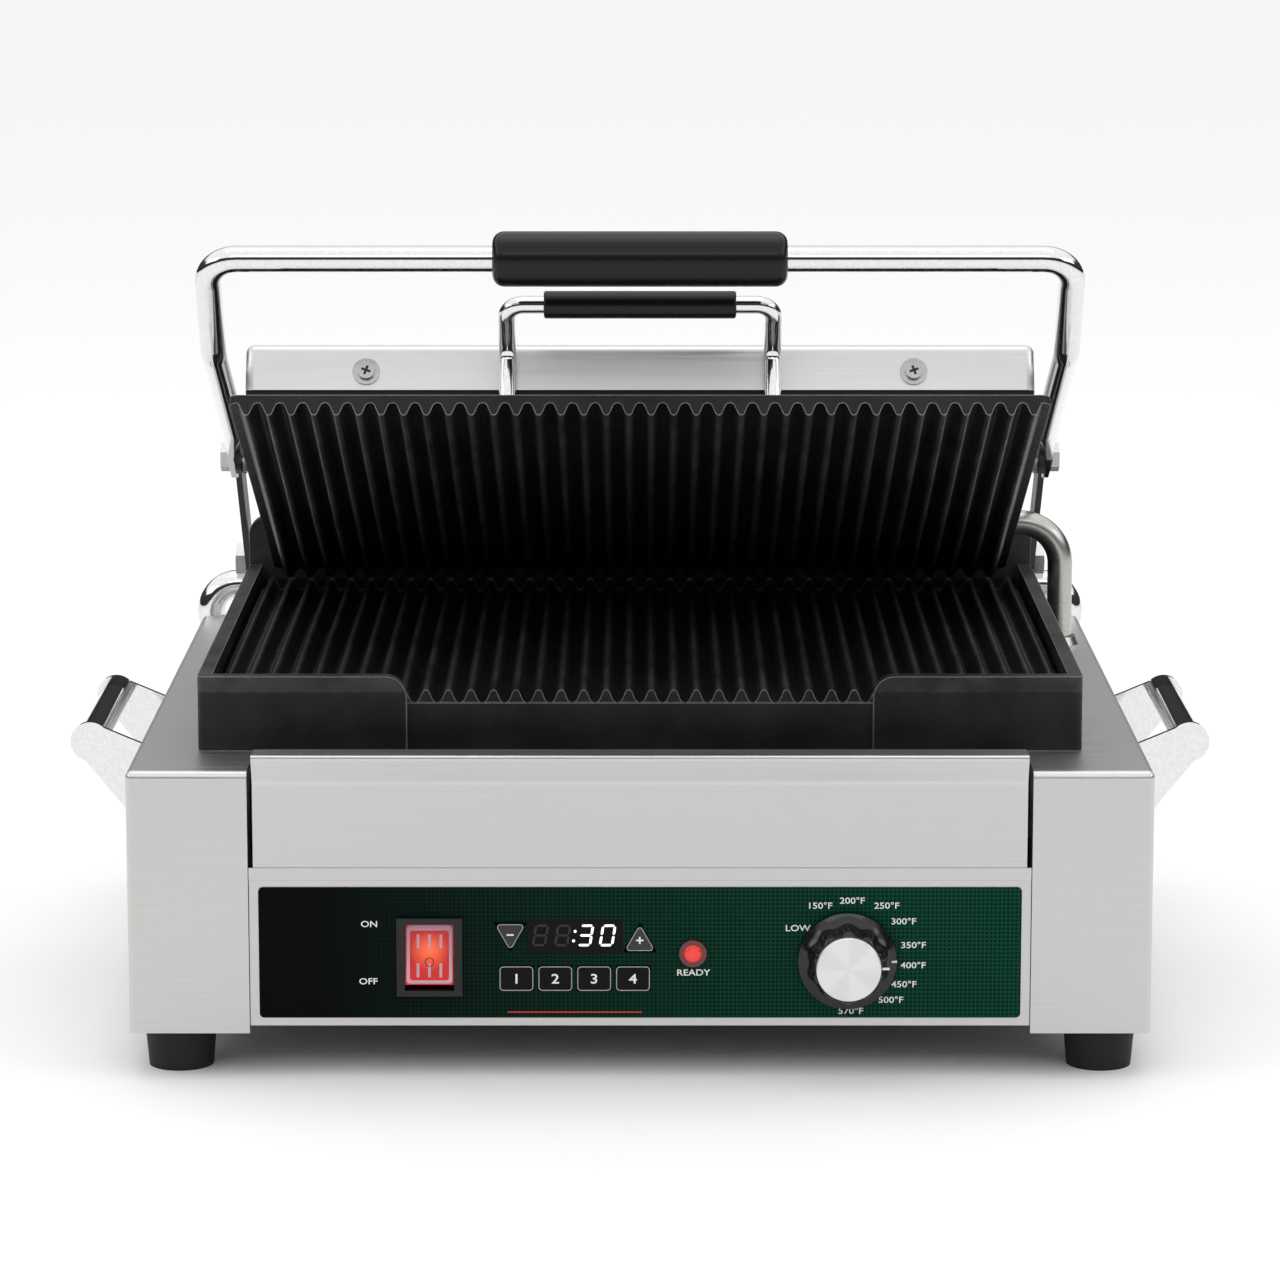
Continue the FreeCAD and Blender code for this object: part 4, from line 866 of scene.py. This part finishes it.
@dataclass
class CookingPlates:
    """The two ribbed castings and the cover over the upper one."""

    screw_across: float = 0.120
    screw_up: float = 0.0003
    screw_head: float = 0.1348
    cross_long: float = 0.0042
    cross_wide: float = 0.0011
    cross_turn: float = math.radians(20)

    def build(self) -> None:
        """Dress the castings and lay crosses of painted shade on the cover's screws."""
        dress(
            lower_iron="lower_plate",
            upper_iron="upper_plate",
            sheet_across="upper_cover",
            zinc="cover_screws",
            gasket="cover_gasket",
            dark_steel="pivot_blocks upper_element lower_element",
            pad="upper_insulation",
            sheet_dull="clamp_plate")
        for side in Side:
            self.cross(side)

    def cross(self, side: Side) -> None:
        """Lay a dark cross on the head of one of the cover's front screws, painted shade
        where its recess is.

        Args:
            side: the screw's side.
        """
        name = side.name.lower()
        turn = self.cross_turn * side.value
        c, s = math.cos(turn), math.sin(turn)
        middle = np.array((side.value * self.screw_across, self.screw_up))
        # Flat black bars laid on the head: painted shade standing for the cross recess.
        bars = ((self.cross_long, self.cross_wide), (self.cross_wide, self.cross_long))
        for index, (wide, high) in enumerate(bars):
            flat = (np.array(rectangle(0.0, 0.0, wide, high))
                    @ np.array(((c, s), (-s, c))) + middle)
            front = -self.screw_head - INK_DEPTH - index * INK_STEP
            points, faces = plate_from(flat, front, -self.screw_head)
            mesh_piece(f"{name}_screw_recess_shade_{index + 1}", from_level(points, PIVOT,
                       PLATE_TILT), faces, "top_plate", "switch_black")


@dataclass
class Linkage:
    """Arms, shaft, lift handle and the small wire handle, with their grips."""

    grip_radius: float = 0.0118
    grip_front: float = 0.375
    grip_rise: float = 0.027
    grip_half: float = 0.058

    def build(self) -> None:
        """Dress the arms and handles."""
        dress(
            dark_steel="left_arm right_arm",
            zinc="hinge_shaft shaft_nuts pivot_bolts pivot_spacers pivot_nuts",
            chrome="lift_tube plate_handle",
            black_grip="lift_grip plate_grip")
        self.parting_line()

    def parting_line(self) -> None:
        """Run the mould's fine parting line along the front of the large grip."""
        angle = np.radians(np.linspace(148.0, 151.0, 4))
        radius = self.grip_radius + 0.00004
        y = -self.grip_front + radius * np.cos(angle)
        z = self.grip_rise + radius * np.sin(angle)
        ends = np.array([-self.grip_half, self.grip_half])
        rows = np.stack([np.repeat(ends[:, None], 4, 1), np.stack([y, y]),
                         np.stack([z, z])], -1)
        mesh_piece("grip_parting_line", from_level(rows, HINGE, ARM_TILT),
                   grid_faces(2, 4, False), "arms", "key_grey")


@dataclass
class TimerPanel:
    """The printed overlay with its display, keys, lamp, dial and words."""

    key_left: float = -0.0531
    key_pitch: float = 0.0167
    key_z: float = 0.0443
    key_wide: float = 0.0144
    key_high: float = 0.0107
    key_round: float = 0.0016
    key_line: float = 0.00034
    key_front: float = FACE_Y - 0.0002
    number_high: float = 0.0042
    arrow_apart: float = 0.0278
    arrow_z: float = 0.0624
    arrow_wide: float = 0.013
    arrow_round: float = 0.0013
    arrow_line: float = 0.0003
    sign_off: float = 0.0012
    sign_long: float = 0.0031
    sign_wide: float = 0.0007
    window_x: float = -0.0279
    window_z: float = 0.0628
    digit_front: float = FACE_Y + 0.00058
    digit_high: float = 0.0096
    digit_wide: float = 0.0062
    slant: float = 0.16
    dot_x: float = -0.0282
    dot_radius: float = 0.00062
    word_high: float = 0.0027

    def build(self) -> None:
        """Dress the panel's nodes and print everything on it."""
        dress(
            overlay="panel_overlay",
            window="display_window",
            board="timer_board",
            lens_ring="lamp_bezel",
            lens="lamp_lens",
            key_grey="key_minus key_plus",
            key_black="key_1 key_2 key_3 key_4",
            switch_black="switch_housing",
            zinc="thermostat_body")
        self.keys()
        self.display()
        self.words()

    def keys(self) -> None:
        """Print a number or a sign, and a thin frame, on each key."""
        for number in range(4):
            x = self.key_left + number * self.key_pitch
            name = f"key_{number + 1}"
            printed(name + "_number", str(number + 1), x, self.key_z, self.number_high,
                    self.key_front, name + "_body", bold=0.012)
            corners = rectangle(x, self.key_z, self.key_wide, self.key_high)
            self.frame(name, corners, self.key_round, self.key_line)
        for name, side, way in (("key_minus", Side.LEFT, Way.DOWN),
                                ("key_plus", Side.RIGHT, Way.UP)):
            x = self.window_x + side.value * self.arrow_apart
            corners = triangle(x, self.arrow_z, self.arrow_wide, way)
            self.frame(name, corners, self.arrow_round, self.arrow_line)
            self.sign(name, x, self.arrow_z - way.value * self.sign_off)

    def frame(self, key: str, corners: list, radius: float, width: float) -> None:
        """Print a thin line round a key's face.

        Args:
            key: the key's node.
            corners: the corners of its outline.
            radius: how round they are.
            width: the line's width.
        """
        points, faces = outline_ring(rounded_outline(corners, radius), width,
                                     self.key_front - 0.00005)
        mesh_piece(key + "_frame", points, faces, key + "_body", "grey_ink")

    def sign(self, key: str, x: float, z: float) -> None:
        """Print a minus or a plus as one or two crossed bars.

        Args:
            key: "key_minus" or "key_plus".
            x: its middle.
            z: its middle.
        """
        bars = [(self.sign_long, self.sign_wide), (self.sign_wide, self.sign_long)]
        for index, (wide, high) in enumerate(bars if key == "key_plus" else bars[:1]):
            printed_shape(f"{key}_sign_{index + 1}", rectangle(x, z, wide, high),
                          self.key_front, 0.00009 + index * 1e-5, key + "_body",
                          "white_ink")

    def segment_shapes(self) -> dict:
        """The seven bars of a digit, as flat hexagons in its own unit box."""
        t, gap, tall, rise = 0.085, 0.035, 0.66, 0.715
        end = 0.5 - t - gap
        across = [(-end, 0), (t - end, t), (end - t, t), (end, 0), (end - t, -t),
                  (t - end, -t)]
        upright = [(0, gap), (t, gap + t), (t, tall - t), (0, tall), (-t, tall - t),
                   (-t, gap + t)]
        level = {"top": rise, "middle": 0.0, "bottom": -rise}
        shapes = {name: np.array(across) + (0, z) for name, z in level.items()}
        for side, x in (("left", -0.5 + t), ("right", 0.5 - t)):
            shapes["upper_" + side] = np.array(upright) + (x, 0.0)
            shapes["lower_" + side] = np.array(upright) * (1, -1) + (x, 0.0)
        return shapes

    def digit(self, name: str, lit: tuple, x: float, ink: str) -> None:
        """One leaning seven-bar digit behind the window's face.

        Args:
            name: the piece's name.
            lit: the names of its lit bars.
            x: its middle.
            ink: the finish's name.
        """
        shapes = self.segment_shapes()
        points, faces = [], []
        for bar in lit:
            flat = shapes[bar]
            z = flat[:, 1] / 1.6 * self.digit_high
            px = x + flat[:, 0] * self.digit_wide + z * self.slant
            start = sum(len(block) for block in points)
            points.append(np.column_stack([px, np.full(len(px), self.digit_front),
                                           z + self.window_z + 0.0004]))
            turn = list(range(start, start + len(px)))
            area = np.cross(flat, np.roll(flat, -1, 0)).sum()
            faces.append(turn if area > 0 else turn[::-1])
        mesh_piece(name, np.vstack(points), faces, "base", ink)

    def display(self) -> None:
        """Light the digits ":30" and leave the two before them dark."""
        every = ("top", "middle", "bottom", "upper_left", "upper_right", "lower_left",
                 "lower_right")
        three = ("top", "middle", "bottom", "upper_right", "lower_right")
        nought = tuple(bar for bar in every if bar != "middle")
        for name, bars, x, ink in (("tens_of_minutes", every, -0.0427, "dim_digit"),
                                   ("minutes", every, -0.0332, "dim_digit"),
                                   ("tens_of_seconds", three, -0.0234, "lit_digit"),
                                   ("seconds", nought, -0.0139, "lit_digit")):
            self.digit("digit_" + name, bars, x, ink)
        angle = np.linspace(0, 2 * np.pi, 16, endpoint=False)
        circle = self.dot_radius * np.column_stack([np.cos(angle), np.sin(angle)])
        for index, z in enumerate((0.0022, -0.0020)):
            dot = circle + (self.dot_x + z * self.slant, self.window_z + z)
            printed_shape(f"colon_dot_{index + 1}", dot, self.digit_front + 0.0001,
                          0.0001, "base", "lit_digit")

    def words(self) -> None:
        """Print the dial's numbers, the lamp's and the switch's words and the red line."""
        words = [
            ("LOW", 0.0677, 0.0665), ("150°F", 0.0771, 0.0764),
            ("200°F", 0.0910, 0.0786), ("250°F", 0.1058, 0.0764),
            ("300°F", 0.1131, 0.0695), ("350°F", 0.1174, 0.0590),
            ("400°F", 0.1174, 0.0501), ("450°F", 0.1135, 0.0417),
            ("500°F", 0.1079, 0.0348), ("570°F", 0.0907, 0.0299),
            ("READY", 0.0229, 0.0469), ("ON", -0.1162, 0.0683), ("OFF", -0.1168, 0.0430),
        ]
        for index, (word, x, z) in enumerate(words):
            printed(f"print_{index + 1}", word, x, z, self.word_high, OVERLAY_Y, "base",
                    bold=0.008)
        printed_shape("print_red_line", rectangle(-0.0281, 0.0293, 0.0578, 0.0006),
                      OVERLAY_Y, 0.00008, "base", "red_ink")


@dataclass
class Thermostat:
    """The lobed knob with its skirt, pointer and spun cap."""

    x: float = 0.089
    z: float = 0.0525
    skirt: float = 0.0213
    grip: float = 0.0168
    cap: float = 0.0139
    lobes: int = 10
    lobe_depth: float = 0.00075
    steps: int = 120
    mark_half: float = 0.0004

    def build(self) -> None:
        """Build the knob, whose radius swells with a cosine round its lobes."""
        steps = self.steps
        angle = np.linspace(0, 2 * np.pi, steps, endpoint=False)
        stations = [(-0.0010, self.skirt - 0.0004, 0.0), (-0.0014, self.skirt, 0.0),
                    (-0.0026, self.skirt - 0.0002, 0.0),
                    (-0.0034, self.grip + 0.0024, 0.0),
                    (-0.0048, self.grip + 0.0006, 0.35), (-0.0070, self.grip, 1.0),
                    (-0.0135, self.grip - 0.0006, 1.0),
                    (-0.0152, self.grip - 0.0014, 0.6), (-0.0160, self.cap + 0.0005, 0.0),
                    (-0.0160, 0.0, 0.0)]
        along, radius, swell = np.array(stations).T
        lobe = self.lobe_depth * (np.cos(angle * self.lobes) - 1)
        reach = radius[:, None] + swell[:, None] * lobe[None]
        reach[-1] = 0.0001
        points = np.stack([self.x + reach * np.sin(angle),
                           np.repeat(FACE_Y + along[:, None], steps, 1),
                           self.z + reach * np.cos(angle)], -1)
        faces = grid_faces(len(stations), steps, True).tolist()
        back = list(range(steps))
        front = [(len(stations) - 1) * steps + index for index in range(steps)]
        knob = mesh_piece("knob_body_shell", points, faces + [back[::-1], front],
                          "knob_body", "knob_black", 50.0)
        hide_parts("knob")
        dress(spun_cap="knob_cap")
        self.pointer()

    def pointer(self) -> None:
        """Print the pointer's white mark on the grip's face and the skirt."""
        marks = [("knob_mark_face", 0.01435, 0.0174, -0.01605),
                 ("knob_mark_skirt", 0.0178, 0.0212, -0.0035)]
        for name, inner, outer, along in marks:
            line = rectangle(self.x + (inner + outer) / 2, self.z, outer - inner,
                             2 * self.mark_half)
            printed_shape(name, line, FACE_Y + along + 0.0012, 0.00125, "knob_body",
                          "white_ink")


@dataclass
class PowerSwitch:
    """The lit rocker, its clear rim and its printed bars."""

    x: float = -0.0904
    z: float = 0.054
    pivot: float = FACE_Y + 0.005
    tilt: float = math.radians(11)
    face: float = 0.0052
    swell: float = 0.0008
    half: float = 0.013
    bar_apart: float = 0.0049
    bar_wide: float = 0.0012
    bar_long: float = 0.006

    def on_rocker(self, points: np.ndarray) -> np.ndarray:
        """Points of the rocker's own frame, turned by its tilt about its pivot.

        Args:
            points: (x, y, z) rows in the rocker's frame.

        Returns:
            The same points in the row's frame.
        """
        c, s = math.cos(self.tilt), math.sin(self.tilt)
        y = points[..., 1] * c + points[..., 2] * s
        z = -points[..., 1] * s + points[..., 2] * c
        return np.stack([points[..., 0] + self.x, y + self.pivot, z + self.z], -1)

    def build(self) -> None:
        """Dress the rocker and print its bars, ring and clear rim."""
        dress(rocker="power_rocker")
        self.rim()
        for row, z in (("upper", 0.0056), ("lower", -0.0068)):
            for column in (-1, 0, 1):
                bar = rectangle(column * self.bar_apart, z, self.bar_wide, self.bar_long)
                self.lay(f"rocker_bar_{row}_{column + 2}", np.array(bar),
                         [[0, 1, 2, 3]], 0.00006, "rocker_rim")
        self.ring()

    def lay(self, name: str, flat: np.ndarray, faces: object, lift: float, finish: str
            ) -> None:
        """Lay flat faces on the rocker's face, which stands out more towards its ends.

        Args:
            name: the piece's name.
            flat: its (x, z) points in the rocker's frame.
            faces: its faces.
            lift: how far it stands out.
            finish: the finish's name.
        """
        depth = -self.face - self.swell * np.abs(flat[..., 1]) / self.half - lift
        points = self.on_rocker(np.stack([flat[..., 0], depth, flat[..., 1]], -1))
        mesh_piece(name, points, faces, "rocker", finish)

    def rim(self) -> None:
        """Lay the clear, slightly raised border round the rocker's face."""
        outer = rounded_outline(rectangle(0.0, 0.0, 0.0196, 0.0250), 0.0015)
        inner = rounded_outline(rectangle(0.0, -0.0004, 0.0168, 0.0214), 0.0012)
        self.lay("rocker_rim", np.stack([outer, inner]),
                 grid_faces(2, len(outer), True), 0.00007, "rocker_rim")

    def ring(self) -> None:
        """Print the small dark ring below the middle."""
        angle = np.linspace(0, 2 * np.pi, 32, endpoint=False)
        circle = np.column_stack([np.cos(angle), np.sin(angle)])
        rings = np.stack([radius * circle for radius in (0.00195, 0.00165)])
        self.lay("rocker_ring", rings + (0.0, -0.0033),
                 grid_faces(2, len(angle), True)[:, ::-1], 0.00008, "switch_black")


# ---------------- stage


@dataclass
class Studio:
    """Floor, lights, surroundings and camera."""

    lens: float = 138.15
    camera_place: tuple = (0.0, -2.245, 0.5682)
    camera_pitch: float = math.radians(79.61)
    floor_size: float = 60.0

    def build(self) -> None:
        """Build the whole stage."""
        self.floor()
        self.world()
        self.lights()
        self.camera()

    def floor(self) -> None:
        """Lay a large pale floor."""
        size = self.floor_size
        corners = [(x, y, 0.0) for x, y in rectangle(0.0, 0.0, size, size)]
        mesh = bpy.data.meshes.new("floor")
        mesh.from_pydata(corners, [], [[0, 1, 2, 3]])
        floor = bpy.data.objects.new("floor", mesh)
        bpy.context.scene.collection.objects.link(floor)
        n = Nodes("floor")
        n.set(Base_Color=(0.93, 0.93, 0.93, 1), Roughness=0.75)
        mesh.materials.append(n.material)

    def world(self) -> None:
        """Surround the scene with white light from above and a dark ring at the sides."""
        world = bpy.data.worlds.new("studio")
        bpy.context.scene.world = world
        world.use_nodes = True
        tree = world.node_tree
        place = tree.nodes.new("ShaderNodeTexCoord")
        split = tree.nodes.new("ShaderNodeSeparateXYZ")
        ramp = tree.nodes.new("ShaderNodeValToRGB")
        tree.links.new(place.outputs["Generated"], split.inputs[0])
        tree.links.new(split.outputs[2], ramp.inputs["Fac"])
        tree.links.new(ramp.outputs["Color"], tree.nodes["Background"].inputs["Color"])
        tree.nodes["Background"].inputs["Strength"].default_value = 1.22
        stops = [(0.0, 0.02), (0.10, 0.03), (0.28, 0.04), (0.34, 0.10), (0.42, 0.92),
                 (1.0, 1.0)]
        elements = ramp.color_ramp.elements
        for position, _ in stops[1:-1]:
            elements.new(position)
        for stop, (_, level) in zip(elements, stops):
            stop.color = (level,) * 3 + (1,)

    def lights(self) -> None:
        """Hang soft boxes above, to both sides and in front."""
        boxes = [("overhead", (0.0, 0.3, 2.6), (0, 0, 0), 2.2, 1.4, 9.0),
                 ("left_box", (-2.3, -0.9, 1.3), (0, math.radians(-62), 0.35), 0.7, 1.9,
                  7.0),
                 ("right_box", (2.3, -0.9, 1.3), (0, math.radians(62), -0.35), 0.7, 1.9,
                  7.0),
                 ("front_box", (0.0, -3.4, 2.2), (math.radians(62), 0, 0), 2.6, 0.5,
                  7.0)]
        for name, place, turn, wide, high, power in boxes:
            light = bpy.data.lights.new(name, "AREA")
            light.shape = "RECTANGLE"
            light.size = wide
            light.size_y = high
            light.energy = power
            lamp = bpy.data.objects.new(name, light)
            lamp.location = place
            lamp.rotation_euler = turn
            bpy.context.scene.collection.objects.link(lamp)

    def camera(self) -> None:
        """Place the camera in front of the controls, looking slightly down."""
        data = bpy.data.cameras.new("camera")
        data.lens = self.lens
        data.sensor_width = 36.0
        data.clip_end = 100.0
        camera = bpy.data.objects.new("camera", data)
        camera.location = self.camera_place
        camera.rotation_euler = (self.camera_pitch, 0, 0)
        bpy.context.scene.collection.objects.link(camera)
        bpy.context.scene.camera = camera
        bpy.context.scene.view_settings.view_transform = "Standard"


def main() -> None:
    """Build the looks piece by piece, then the stage."""
    logging.basicConfig(level=logging.INFO, format="%(name)s: %(message)s")
    for part in (Housing(), DripTray(), CookingPlates(), Linkage(), TimerPanel(),
                 Thermostat(), PowerSwitch()):
        part.build()
        LOG.info("%s done", type(part).__name__)
    Studio().build()


if __name__ == "__main__":
    main()
